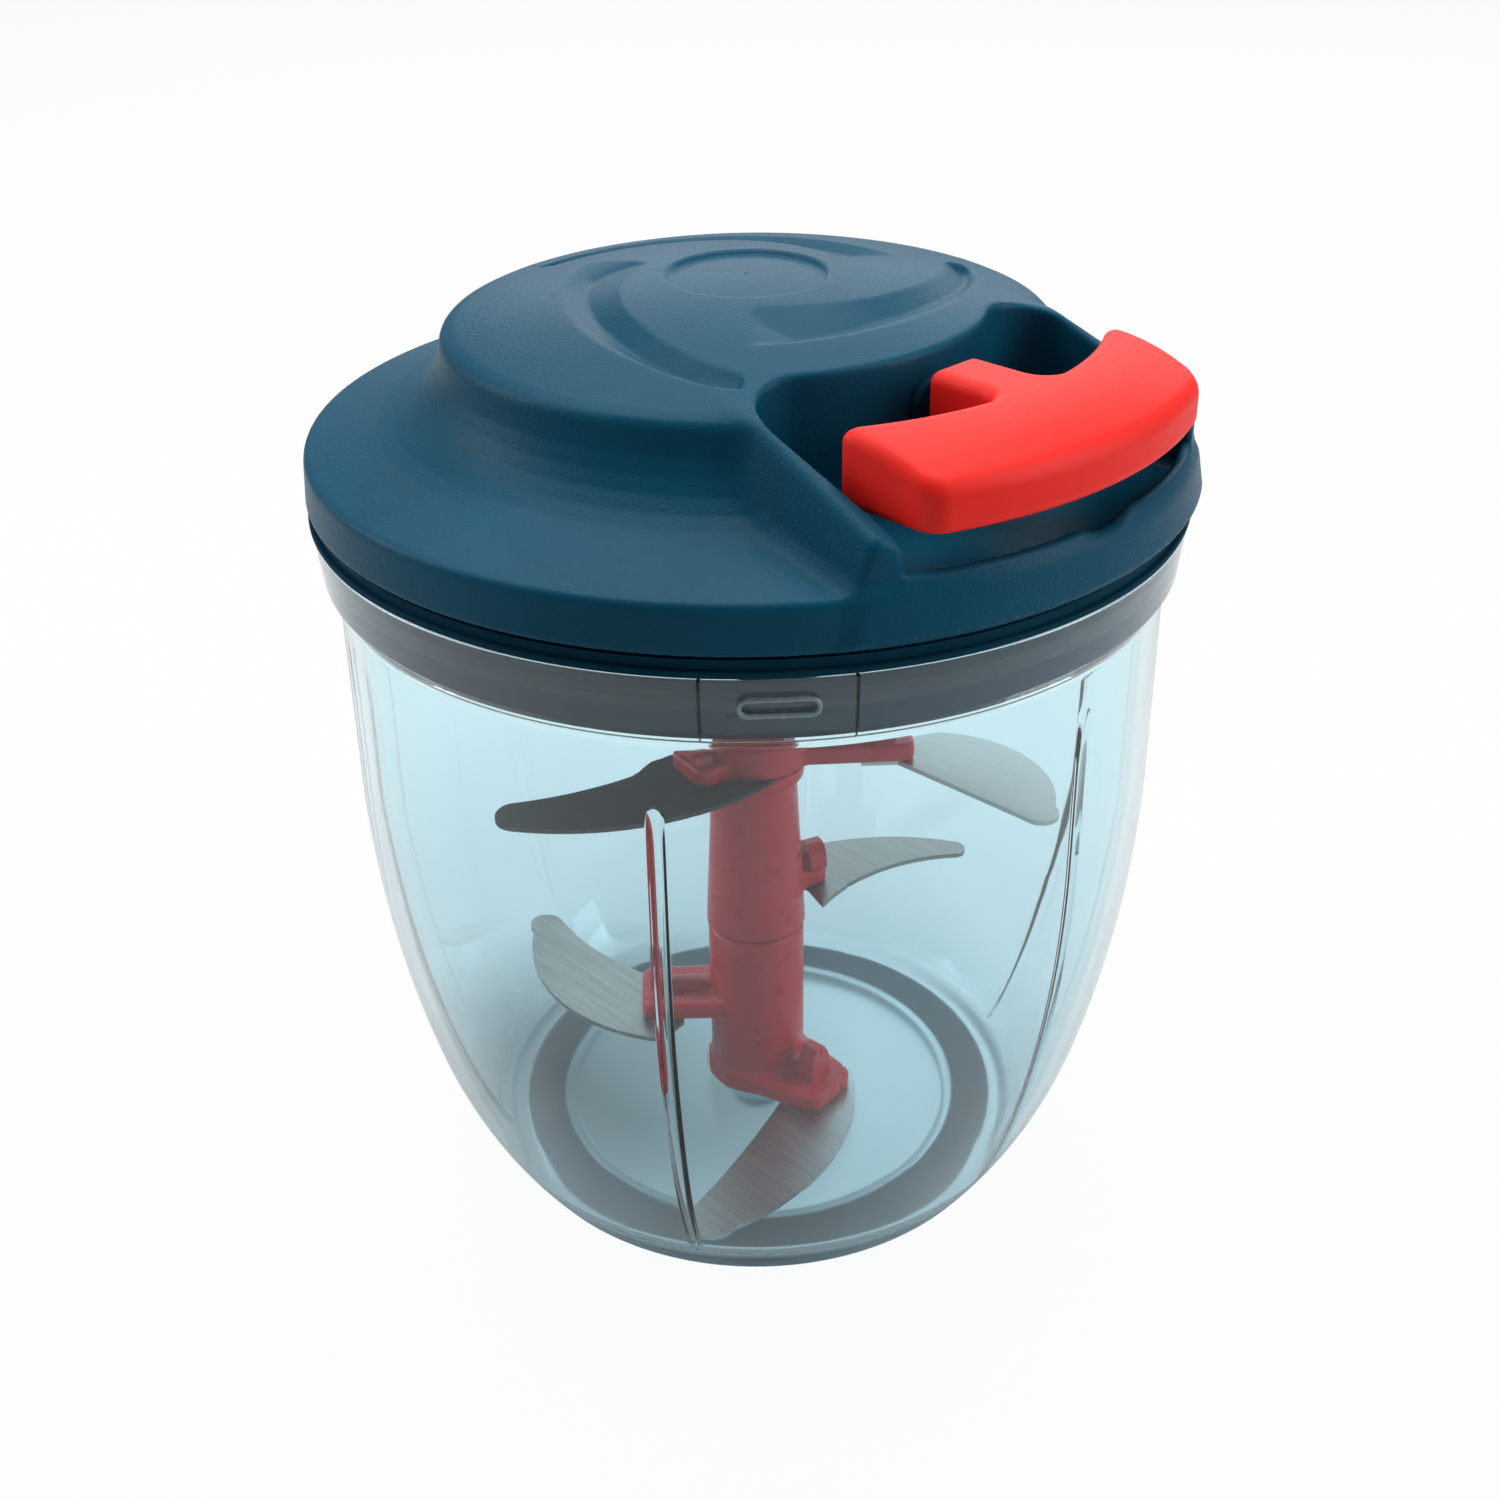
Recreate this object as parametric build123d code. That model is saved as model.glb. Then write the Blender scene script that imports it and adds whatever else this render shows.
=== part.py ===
from build123d import *
import os
from math import acos, cos, degrees, radians, sin, sqrt, tan

# Pull-cord food chopper: a clear bowl, a lid that holds a cord-and-spring drive, a T handle in
# a pocket of the lid, and a blade shaft with five curved blades that turns on a pin in the bowl.
#
# Millimetres. The origin is the centre of the bowl's foot, +Z is up, and the handle pulls out
# along -Y. Azimuths are in degrees from -Y, positive towards +X, so the handle is at azimuth 0.

# ---- clearances -------------------------------------------------------------------------------
RUNNING_FIT = 0.05      # radial, a shaft in its bush
BODY_GAP = 0.3          # between pieces that move against each other
SHADOW_GAP = 0.6        # between the lid cover's rim and the flange of the lid base
SEAT_GAP = 0.05         # radial, the anti-slip ring in its groove

# ---- bowl: radii are stepped from the waist, heights from the table -------------------------------
WAIST_RADIUS = 61.5     # widest part of the body, outside
BOWL_WALL = 2.3
BODY_HEIGHT = 105.8     # where the collar begins
STRAIGHT_HEIGHT = 29.8  # the straight part of the side under the collar
KNEE_HEIGHT = 26.9      # where the side turns towards the foot
KNEE_INSET = 6.5
FOOT_INSET = 18.7
FOOT_LIFT = 0.6         # the bowl's own foot stands this far above the anti-slip ring's tread
FLOOR_TOP = 6.0
FLOOR_THICKNESS = 2.6
FLOOR_CORNER_OUTSET = 1.6
COLLAR_FOOT_RISE = 3.0
COLLAR_FOOT_STEP = 1.8
COLLAR_HEIGHT = 7.9
COLLAR_FLARE = 0.9
COLLAR_BORE_STEP = 0.3
COLLAR_LEDGE_RISE = 1.0
RIB_COUNT = 6
RIB_AZIMUTH = -56.8
RIB_WIDTH = 1.4
RIB_DEPTH = 0.9
RIB_TOP_DROP = 7.0
RIB_RUN_OUT = 9.0
CATCH_COUNT = 4
CATCH_AZIMUTH = -41.6
CATCH_SPAN = 15.0       # degrees, the thin window of the collar that a lug of the lid drops into
CATCH_WALL = 1.0        # what is left of the collar in the window
MARK_LENGTH = 10.0      # the raised bar on each window
MARK_HEIGHT = 2.2
MARK_RELIEF = 0.55
MARK_RISE = 3.8         # from the collar's foot to the middle of the bar

# ---- anti-slip ring and pivot pin ----------------------------------------------------------------
TREAD_INSET = 2.0
TREAD_WIDTH = 6.7
TREAD_GROOVE_WIDTH = 1.8
TREAD_RIB_WIDTH = 1.3
PIN_RADIUS = 2.5
PIN_STAND = 19.0            # the pin's height over the bowl's floor
PIN_SOCKET_DEPTH = 3.4
PIN_BOSS_RADIUS = 4.6
PIN_BOSS_STAND = 1.9
PIN_POINT = 0.6

# ---- blade shaft: heights over the bowl's floor ---------------------------------------------------
SHAFT_STAND = 2.6
SHAFT_RADIUS = 8.0
SEAM_STAND = 32.8
SEAM_LEDGE = 0.2
NECK_RADIUS = 6.9
NECK_COLLAR_RADIUS = 8.1
NECK_COLLAR_HEIGHT = 2.1     # under the top blades
NECK_COLLAR_SLOPE = 0.9
HUB_RADIUS = 8.8
HUB_HEIGHT = 6.8
HUB_SHOULDER = 1.5
SPINDLE_RADIUS = 6.4
HEX_LENGTH = 10.5
HEX_DROP = 6.7              # from the collar's top down to the end of the hexagon
HEX_ACROSS_FLATS = 10.4
HEX_POINT = 0.4
SPIGOT_RADIUS = 5.9
SPIGOT_LENGTH = 7.5
FOOT_FLARE = 0.9
FOOT_FLARE_HEIGHT = 1.6
SHAFT_BUSH_WALL = 1.7
SHAFT_BUSH_CAP = 0.6
SEAM_ROUNDING = 0.25

# ---- blades --------------------------------------------------------------------------------------
BLADE_THICKNESS = 0.8
BEVEL_WIDTH = 1.6           # ground on the inner, cutting edge
BEVEL_DEPTH = 0.55
BLADE_RELIEF = 0.1          # round the shaft
TOP_LEFT_BLADE_GAP = 16.8   # from each blade's tip to the bowl's wall
TOP_RIGHT_BLADE_GAP = 10.1
MIDDLE_BLADE_GAP = 21.2
SIDE_BLADE_GAP = 5.8
BOTTOM_BLADE_GAP = 3.6
ARM_THICKNESS = 2.9
ARM_CORNER = 1.8
ARM_RIB_WIDTH = 2.4
ARM_RIB_HEIGHT = 1.6
CLIP_RADIUS = 1.5
CLIP_HEAD_STEP = 0.9
CLIP_HEAD_HEIGHT = 0.7
FIN_LENGTH = 5.2
FIN_WIDTH = 3.0
TOP_BLADE_STAND = 63.6      # underside of each blade over the bowl's floor
MIDDLE_BLADE_STAND = 37.4
SIDE_BLADE_STAND = 15.5

# ---- lid cover: radii are stepped in from the rim, heights up from the rim ---------------------------
COVER_OVERHANG = 0.3        # past the collar's top
COVER_WALL = 2.4
BAND_HEIGHT = 6.7
BAND_DRAFT = 0.4
BAND_EDGE_ROUNDING = 1.2
FLANGE_WIDTH = 9.0
FLANGE_RISE = 2.25
DOME_INSET = 20.9
DOME_SIDE_HEIGHT = 12.95
CROWN_RADIUS = 143.0        # of the sphere that the top of the dome is part of
CREST_ROUNDING = 2.6
DISC_RADIUS = 11.3
DISC_DEPTH = 0.7
SWIRL_DEPTH = 0.9
SWIRL_COUNT = 3
SWIRL_AZIMUTH = -45.5       # tail of the first swirl

# ---- handle pocket -------------------------------------------------------------------------------
POCKET_SIDE_GAP = 1.8       # between the grip's ends and the cheeks
POCKET_BACK_INSET = 9.4     # from the dome's crest to the pocket's back wall
POCKET_CORNER = 6.8
POCKET_FLOOR_RISE = 4.8
LIP_RISE = 2.2              # over the edge of the flange
LIP_INSET = 0.9
LIP_WIDTH = 1.4
NOTCH_RADIUS = 10.0
NOTCH_DEPTH = 1.5
NOTCH_AZIMUTH = 1.0
CHEEK_TOP_THICKNESS = 1.7
CHEEK_DRAFT = 14.0          # degrees, the outer side of each cheek
CHEEK_END_INSET = 1.3
CHEEK_END_RISE = 4.3        # from the lip up to where the ridge turns down
CHEEK_END_SLOPE = 0.5

# ---- handle --------------------------------------------------------------------------------------
GRIP_OVERHANG = 0.1
GRIP_DEPTH = 14.3           # from the outer face to the inner face
GRIP_HALF_WIDTH = 27.6
GRIP_UNDER_CORD = 3.9       # from the cord down to the underside
GRIP_OVER_CORD = 6.2        # from the cord up to the crown
GRIP_MIDDLE_FALL = 1.0
GRIP_OUTER_FALL = 4.0
STEM_WIDTH = 9.2
STEM_GAP = 2.1              # between the eyelet and the stem
STEM_FILLET = 3.2
STEM_CORNER = 1.6
GRIP_CORNER = 2.6

# ---- cord ----------------------------------------------------------------------------------------
CORD_RADIUS = 1.0
CORD_RISE = 17.5            # over the cover's rim
CORD_BORE_RADIUS = 1.3
CORD_BEND = 3.0
KNOT_RADIUS = 2.6
KNOT_COVER = 5.2            # of the grip between the knot and the inner face
CORD_IN_KNOT = 1.0
KNOT_ROOM_GAP = 0.4
EYELET_RADIUS = 2.7
EYELET_FLANGE_RADIUS = 3.7
EYELET_FLANGE = 1.2
EYELET_TAIL = 1.2

# ---- lid base ------------------------------------------------------------------------------------
RIM_FLANGE_THICKNESS = 2.2
RIM_FLANGE_INSET = 0.8
BASE_PLATE_DROP = 2.5       # from the collar's top to the top of the plate
BASE_PLATE_THICKNESS = 2.2
SKIRT_GAP = 0.5
SKIRT_WALL = 2.2
SKIRT_LENGTH = 9.1
INNER_SPIGOT_WALL = 2.0
INNER_SPIGOT_GAP = 0.15
INNER_SPIGOT_UNDER_POCKET = 0.4
LUG_SPAN = 12.0             # degrees
LUG_HEIGHT = 3.0
SEAL_GROOVE_RISE = 3.9      # over the skirt's lower edge
SEAL_GROOVE_HEIGHT = 2.6
SEAL_GROOVE_DEPTH = 1.2
SEAL_GAP = 0.2
STIFFENER_COUNT = 8
STIFFENER_WIDTH = 1.6
STIFFENER_HEIGHT = 3.0
SCREW_COUNT = 4
SCREW_AZIMUTH = 45.0
SCREW_INSET = 1.5           # from the flange's inner edge
SCREW_SHANK_RADIUS = 1.5
SCREW_HOLE_GAP = 0.2
SCREW_HEAD_RADIUS = 3.0
SCREW_HEAD_HEIGHT = 1.8
SCREW_LENGTH = 10.5
SCREW_SLOT_WIDTH = 0.7
SCREW_BOSS_RADIUS = 4.0

# ---- drive ---------------------------------------------------------------------------------------
HUB_SLEEVE_RADIUS = 8.4
HEX_GAP = 0.1
BUSH_WALL = 1.5
BUSH_LENGTH = 13.5
BUSH_RISE = 1.3             # over the collar's top
BOSS_WALL = 2.0
SLEEVE_TAIL = 1.4
CLUTCH_DISC_THICKNESS = 2.4
CLUTCH_DISC_INSET = 0.7
PAWL_COUNT = 3
PAWL_THICKNESS = 2.6
PAWL_PIN_RADIUS = 1.0
PAWL_HEAD_RADIUS = 2.2
PAWL_PIVOT_INSET = 4.4
PAWL_TIP_GAP = 0.45
RATCHET_TEETH = 12
RATCHET_DEPTH = 1.5
RATCHET_AZIMUTH = 41.0
SPOOL_TO_EYELET = 5.8       # from the spool's flange to the pocket's back wall
SPOOL_WALL = 1.6
SPOOL_WEB_THICKNESS = 2.2
FLANGE_DEPTH = 7.5          # of the cord's groove
FLANGE_THICKNESS = 1.2
GROOVE_HEIGHT = 6.0
WINDING_DEPTH = 3.7
SKIRT_STEP = 0.5
SPOOL_SLEEVE_RADIUS = 5.0
DRUM_FLOOR = 1.0
AXLE_RADIUS = 2.5
AXLE_IN_HUB = 6.0
AXLE_COVER = 3.3            # from the end of the axle to the crown
AXLE_POINT = 0.5
ARBOR_RADIUS = 6.4
ARBOR_GAP = 0.9             # between the spool's cap and the cover's boss
SPRING_STRIP = 0.35
SPRING_TURNS = 5
SPRING_HEIGHT = 5.0
SPRING_SIDE_GAP = 0.5
SPRING_SLOT_WIDTH = 0.9
SPRING_HOOK_AZIMUTH = 180.0
CAP_THICKNESS = 0.8
CAP_LAP = 3.0

# ---- radii that follow ---------------------------------------------------------------------------
KNEE_RADIUS = WAIST_RADIUS - KNEE_INSET
FOOT_RADIUS = WAIST_RADIUS - FOOT_INSET
INNER_RADIUS = WAIST_RADIUS - BOWL_WALL
FLOOR_CORNER_RADIUS = FOOT_RADIUS + FLOOR_CORNER_OUTSET
TREAD_OUTER_RADIUS = FOOT_RADIUS - TREAD_INSET
TREAD_INNER_RADIUS = TREAD_OUTER_RADIUS - TREAD_WIDTH
COLLAR_FOOT_RADIUS = WAIST_RADIUS + COLLAR_FOOT_STEP
COLLAR_TOP_RADIUS = COLLAR_FOOT_RADIUS + COLLAR_FLARE
COLLAR_BORE_RADIUS = WAIST_RADIUS + COLLAR_BORE_STEP
WINDOW_RADIUS = COLLAR_FOOT_RADIUS - CATCH_WALL
COVER_RADIUS = COLLAR_TOP_RADIUS + COVER_OVERHANG
GAP_IN_COVER = COVER_RADIUS - COVER_WALL
BAND_TOP_RADIUS = COVER_RADIUS - BAND_DRAFT
FLANGE_INNER_RADIUS = COVER_RADIUS - FLANGE_WIDTH
CREST_RADIUS = COVER_RADIUS - DOME_INSET
LIP_RADIUS = COVER_RADIUS - LIP_INSET
CHEEK_END_RADIUS = COVER_RADIUS - CHEEK_END_INSET
POCKET_BACK_RADIUS = CREST_RADIUS - POCKET_BACK_INSET
POCKET_HALF_WIDTH = GRIP_HALF_WIDTH + POCKET_SIDE_GAP
GRIP_OUTER_RADIUS = COVER_RADIUS + GRIP_OVERHANG
GRIP_INNER_RADIUS = GRIP_OUTER_RADIUS - GRIP_DEPTH
KNOT_DISTANCE = GRIP_INNER_RADIUS + KNOT_COVER
CORD_START = POCKET_BACK_RADIUS + EYELET_FLANGE
STEM_END = CORD_START + STEM_GAP
SKIRT_RADIUS = COLLAR_BORE_RADIUS - SKIRT_GAP
RIM_FLANGE_RADIUS = COVER_RADIUS - RIM_FLANGE_INSET
SCREW_CIRCLE_RADIUS = FLANGE_INNER_RADIUS - SCREW_INSET
BOSS_BORE_RADIUS = HUB_SLEEVE_RADIUS + RUNNING_FIT + BUSH_WALL
BOSS_RADIUS = BOSS_BORE_RADIUS + BOSS_WALL
FLANGE_RADIUS = POCKET_BACK_RADIUS - COVER_WALL - SPOOL_TO_EYELET
DRUM_RADIUS = FLANGE_RADIUS - FLANGE_DEPTH
DRUM_BORE_RADIUS = DRUM_RADIUS - SPOOL_WALL
WINDING_RADIUS = DRUM_RADIUS + WINDING_DEPTH
SPOOL_SKIRT_RADIUS = DRUM_RADIUS + SKIRT_STEP
RATCHET_ROOT_RADIUS = SPOOL_SKIRT_RADIUS - SPOOL_WALL
RATCHET_TIP_RADIUS = RATCHET_ROOT_RADIUS - RATCHET_DEPTH
CLUTCH_DISC_RADIUS = RATCHET_TIP_RADIUS - CLUTCH_DISC_INSET
PAWL_PIVOT_RADIUS = RATCHET_TIP_RADIUS - PAWL_PIVOT_INSET

# ---- heights that follow -------------------------------------------------------------------------
FLOOR_UNDERSIDE = FLOOR_TOP - FLOOR_THICKNESS
WAIST_HEIGHT = BODY_HEIGHT - STRAIGHT_HEIGHT
COLLAR_FOOT_HEIGHT = BODY_HEIGHT + COLLAR_FOOT_RISE
COLLAR_TOP_HEIGHT = COLLAR_FOOT_HEIGHT + COLLAR_HEIGHT
COLLAR_LEDGE_HEIGHT = BODY_HEIGHT + COLLAR_LEDGE_RISE
RIB_TOP_HEIGHT = BODY_HEIGHT - RIB_TOP_DROP
MARK_CENTRE_HEIGHT = COLLAR_FOOT_HEIGHT + MARK_RISE
PIN_TOP_HEIGHT = FLOOR_TOP + PIN_STAND
PIN_SOCKET_HEIGHT = FLOOR_TOP - PIN_SOCKET_DEPTH
PIN_BOSS_TOP = FLOOR_TOP + PIN_BOSS_STAND
SHAFT_BOTTOM = FLOOR_TOP + SHAFT_STAND
SEAM_HEIGHT = FLOOR_TOP + SEAM_STAND
TOP_BLADE_HEIGHT = FLOOR_TOP + TOP_BLADE_STAND
NECK_HEIGHT = TOP_BLADE_HEIGHT - NECK_COLLAR_HEIGHT - NECK_COLLAR_SLOPE
MIDDLE_BLADE_HEIGHT = FLOOR_TOP + MIDDLE_BLADE_STAND
SIDE_BLADE_HEIGHT = FLOOR_TOP + SIDE_BLADE_STAND
BOTTOM_BLADE_HEIGHT = SHAFT_BOTTOM - BLADE_THICKNESS
HUB_TOP = TOP_BLADE_HEIGHT + BLADE_THICKNESS + HUB_HEIGHT
HEX_TOP = COLLAR_TOP_HEIGHT - HEX_DROP
HEX_BOTTOM = HEX_TOP - HEX_LENGTH
SHAFT_BUSH_TOP = PIN_TOP_HEIGHT + SHAFT_BUSH_CAP
RIM_FLANGE_BOTTOM = COLLAR_TOP_HEIGHT + BODY_GAP
RIM_FLANGE_TOP = RIM_FLANGE_BOTTOM + RIM_FLANGE_THICKNESS
COVER_RIM_HEIGHT = RIM_FLANGE_TOP + SHADOW_GAP
BAND_TOP_HEIGHT = COVER_RIM_HEIGHT + BAND_HEIGHT
FLANGE_INNER_HEIGHT = BAND_TOP_HEIGHT + FLANGE_RISE
CREST_HEIGHT = FLANGE_INNER_HEIGHT + DOME_SIDE_HEIGHT
CROWN_HEIGHT = CREST_HEIGHT + CROWN_RADIUS - sqrt(CROWN_RADIUS**2 - CREST_RADIUS**2)
DISC_EDGE_HEIGHT = CROWN_HEIGHT - CROWN_RADIUS + sqrt(CROWN_RADIUS**2 - DISC_RADIUS**2)
POCKET_FLOOR = COVER_RIM_HEIGHT + POCKET_FLOOR_RISE
LIP_HEIGHT = BAND_TOP_HEIGHT + LIP_RISE
CHEEK_END_HEIGHT = LIP_HEIGHT + CHEEK_END_RISE
CORD_HEIGHT = COVER_RIM_HEIGHT + CORD_RISE
GRIP_BOTTOM = CORD_HEIGHT - GRIP_UNDER_CORD
GRIP_CROWN_HEIGHT = CORD_HEIGHT + GRIP_OVER_CORD
GROOVE_BOTTOM = CORD_HEIGHT - GROOVE_HEIGHT / 2
GROOVE_TOP = CORD_HEIGHT + GROOVE_HEIGHT / 2
SPOOL_FLANGE_BOTTOM = GROOVE_BOTTOM - FLANGE_THICKNESS
SPOOL_SLEEVE_TOP = SPOOL_FLANGE_BOTTOM + DRUM_FLOOR
SPOOL_TOP = GROOVE_TOP + FLANGE_THICKNESS
CAP_TOP = SPOOL_TOP + CAP_THICKNESS
ARBOR_TOP = CAP_TOP + ARBOR_GAP
AXLE_TOP = CROWN_HEIGHT - AXLE_COVER
BASE_PLATE_TOP = COLLAR_TOP_HEIGHT - BASE_PLATE_DROP
BASE_PLATE_BOTTOM = BASE_PLATE_TOP - BASE_PLATE_THICKNESS
SKIRT_BOTTOM = COLLAR_TOP_HEIGHT - SKIRT_LENGTH
LUG_BOTTOM = SKIRT_BOTTOM + BODY_GAP
SEAL_GROOVE_BOTTOM = SKIRT_BOTTOM + SEAL_GROOVE_RISE
SEAL_GROOVE_TOP = SEAL_GROOVE_BOTTOM + SEAL_GROOVE_HEIGHT
BUSH_TOP = COLLAR_TOP_HEIGHT + BUSH_RISE
BUSH_BOTTOM = BUSH_TOP - BUSH_LENGTH
CLUTCH_DISC_BOTTOM = BUSH_TOP + BODY_GAP
CLUTCH_DISC_TOP = CLUTCH_DISC_BOTTOM + CLUTCH_DISC_THICKNESS
PAWL_TOP = CLUTCH_DISC_TOP + PAWL_THICKNESS
SPOOL_WEB_BOTTOM = PAWL_TOP + BODY_GAP
AXLE_BOTTOM = CLUTCH_DISC_TOP - AXLE_IN_HUB

MARGIN = 1.0            # how far a cutter runs past the face it cuts

BOTTOM = (Align.CENTER, Align.CENTER, Align.MIN)
FROM_AXIS = (Align.MIN, Align.CENTER, Align.MIN)


# ---- helpers -------------------------------------------------------------------------------------
def at(radius, azimuth, height=0.0):
    """A point at a radius and azimuth about the vertical axis."""
    return (radius * sin(radians(azimuth)), -radius * cos(radians(azimuth)), height)


def flat(radius, azimuth):
    """The same point seen from above."""
    return at(radius, azimuth)[:2]


def place(azimuth, height=0.0):
    """A location on the axis whose local +X points out along an azimuth."""
    return Pos(0, 0, height) * Rot(0, 0, azimuth - 90)


def spaced(count, first):
    return [first + 360 / count * step for step in range(count)]


def disc(radius, bottom, top):
    return Pos(0, 0, bottom) * Cylinder(radius, top - bottom, align=BOTTOM)


def tube(outer, inner, bottom, top):
    return disc(outer, bottom, top) - disc(inner, bottom - MARGIN, top + MARGIN)


def rod(radius, start, length, height):
    """A cylinder that lies along -Y, from a distance in front of the axis."""
    lying = Rot(90, 0, 0) * Cylinder(radius, length, align=BOTTOM)
    return Pos(0, -start, height) * lying


def turned(*edges):
    """A solid of revolution about Z from the edges of a closed profile in radius and height."""
    outline = Curve() + list(edges)
    return revolve(make_face(Plane.XZ * outline), Axis.Z)


def turned_points(*points):
    return revolve(make_face(Plane.XZ * Polyline(*points, close=True)), Axis.Z)


def slab(face, bottom, top):
    return extrude(Pos(0, 0, bottom) * face, top - bottom)


def outline_slab(points, bottom, top):
    return slab(make_face(Polyline(*points, close=True)), bottom, top)


def wedge(inner, outer, azimuth, width, bottom, top):
    """A ring segment of a given width, cut square to the azimuth at its middle."""
    block = place(azimuth, bottom) * Box(outer + MARGIN, width, top - bottom, align=FROM_AXIS)
    return tube(outer, inner, bottom, top) & block


def chord(radius, span):
    return 2 * radius * tan(radians(span / 2))


def hexagon(across_flats, bottom, top):
    return slab(RegularPolygon(across_flats / 2, 6, major_radius=False), bottom, top)


def each_solid(shapes):
    """Separate solids that are one node."""
    return Compound(children=[shape.solid() for shape in shapes])


# ---- bowl ----------------------------------------------------------------------------------------
def bowl_side(inset, foot):
    """The side of the bowl from the waist down to a foot point, in radius and height."""
    waist = (WAIST_RADIUS - inset, WAIST_HEIGHT)
    knee = (KNEE_RADIUS - inset, KNEE_HEIGHT)
    upper = TangentArc(waist, knee, tangent=(0, -1))
    lower = TangentArc(knee, foot, tangent=upper % 1)
    return upper, lower


def make_bowl():
    foot = (FOOT_RADIUS, FOOT_LIFT)
    floor_corner = (FLOOR_CORNER_RADIUS, FLOOR_TOP)
    groove_radius = TREAD_OUTER_RADIUS + SEAT_GAP
    head = Polyline(
        (INNER_RADIUS, WAIST_HEIGHT),
        (INNER_RADIUS, COLLAR_LEDGE_HEIGHT),
        (COLLAR_BORE_RADIUS, COLLAR_LEDGE_HEIGHT),
        (COLLAR_BORE_RADIUS, COLLAR_TOP_HEIGHT),
        (COLLAR_TOP_RADIUS, COLLAR_TOP_HEIGHT),
        (COLLAR_FOOT_RADIUS, COLLAR_FOOT_HEIGHT),
        (WAIST_RADIUS, BODY_HEIGHT),
        (WAIST_RADIUS, WAIST_HEIGHT),
    )
    base = Polyline(
        foot,
        (groove_radius, FOOT_LIFT),
        (groove_radius, FLOOR_UNDERSIDE),
        (0, FLOOR_UNDERSIDE),
        (0, FLOOR_TOP),
        floor_corner,
    )
    body = turned(head, *bowl_side(0, foot), base, *bowl_side(BOWL_WALL, floor_corner))
    rib_radius = TREAD_INNER_RADIUS - SEAT_GAP
    tread_rib = tube(rib_radius, rib_radius - TREAD_RIB_WIDTH, FOOT_LIFT, FLOOR_UNDERSIDE)
    pin_boss = disc(PIN_BOSS_RADIUS, FOOT_LIFT, PIN_BOSS_TOP)
    pin_socket = disc(PIN_RADIUS, PIN_SOCKET_HEIGHT, PIN_BOSS_TOP + MARGIN)
    return body + tread_rib + pin_boss + bowl_ribs() + catch_marks() - catch_windows() - pin_socket


def bowl_ribs():
    """Fine upright ribs on the inside of the bowl that stop the food from spinning round."""
    root = BOWL_WALL / 2
    corner = (FLOOR_CORNER_RADIUS - RIB_DEPTH, FLOOR_TOP)
    buried_corner = (FLOOR_CORNER_RADIUS - RIB_DEPTH, FLOOR_TOP - root)
    top = Polyline(
        (INNER_RADIUS - RIB_DEPTH, WAIST_HEIGHT),
        (INNER_RADIUS - RIB_DEPTH, RIB_TOP_HEIGHT - RIB_RUN_OUT),
        (INNER_RADIUS, RIB_TOP_HEIGHT),
        (INNER_RADIUS + root, RIB_TOP_HEIGHT),
        (INNER_RADIUS + root, WAIST_HEIGHT),
    )
    inner_side = bowl_side(BOWL_WALL + RIB_DEPTH, corner)
    buried_side = bowl_side(root, buried_corner)
    outline = Curve() + [top, *inner_side, *buried_side, Line(buried_corner, corner)]
    rib = extrude(make_face(Plane.XZ * outline), RIB_WIDTH / 2, both=True)
    return Part() + [place(azimuth) * rib for azimuth in spaced(RIB_COUNT, RIB_AZIMUTH)]


def catch_windows():
    """Thin places in the collar that the lid's lugs drop into."""
    width = chord(WINDOW_RADIUS, CATCH_SPAN)
    return Part() + [
        wedge(
            COLLAR_BORE_RADIUS - MARGIN,
            WINDOW_RADIUS,
            azimuth,
            width,
            COLLAR_LEDGE_HEIGHT,
            COLLAR_TOP_HEIGHT + MARGIN,
        )
        for azimuth in spaced(CATCH_COUNT, CATCH_AZIMUTH)
    ]


def catch_marks():
    """A raised bar with round ends on the outside of each window."""
    rise = MARK_RISE / COLLAR_HEIGHT
    face_radius = COLLAR_FOOT_RADIUS + rise * COLLAR_FLARE
    bar = SlotOverall(MARK_LENGTH, MARK_HEIGHT)
    depth = MARK_RELIEF + COLLAR_FLARE
    upright = Plane(origin=(0, 0, MARK_CENTRE_HEIGHT), x_dir=(0, 1, 0), z_dir=(1, 0, 0))
    block = Pos(face_radius - depth, 0, 0) * extrude(upright * bar, 2 * depth)
    rim = disc(face_radius + MARK_RELIEF, BODY_HEIGHT, COLLAR_TOP_HEIGHT)
    marks = [place(azimuth) * block for azimuth in spaced(CATCH_COUNT, CATCH_AZIMUTH)]
    return (Part() + marks) & rim


def make_base_ring():
    """Soft ring pressed into the groove under the floor; its tread is what the bowl stands on."""
    body = tube(TREAD_OUTER_RADIUS, TREAD_INNER_RADIUS, 0, FLOOR_UNDERSIDE)
    middle = (TREAD_OUTER_RADIUS + TREAD_INNER_RADIUS) / 2
    half = TREAD_GROOVE_WIDTH / 2
    groove = tube(middle + half, middle - half, -MARGIN, FOOT_LIFT)
    return body - groove


def make_pivot_pin():
    pin = disc(PIN_RADIUS, PIN_SOCKET_HEIGHT, PIN_TOP_HEIGHT)
    return chamfer(pin.edges().group_by(Axis.Z)[-1], PIN_POINT)


# ---- blade shaft ---------------------------------------------------------------------------------
class Arm:
    """A plate on the shaft that carries one blade under it, held by a clip with a fin.

    reach and clip are measured from the side of the shaft, root and width across the plate.
    """

    def __init__(self, azimuth, blade_height, reach, root, width, clip, fin):
        self.azimuth = azimuth
        self.blade_height = blade_height
        self.reach = SHAFT_RADIUS + reach
        self.root = root
        self.width = width
        self.clip = SHAFT_RADIUS + clip
        self.fin = fin
        self.bottom = blade_height + BLADE_THICKNESS
        self.top = self.bottom + ARM_THICKNESS


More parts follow.
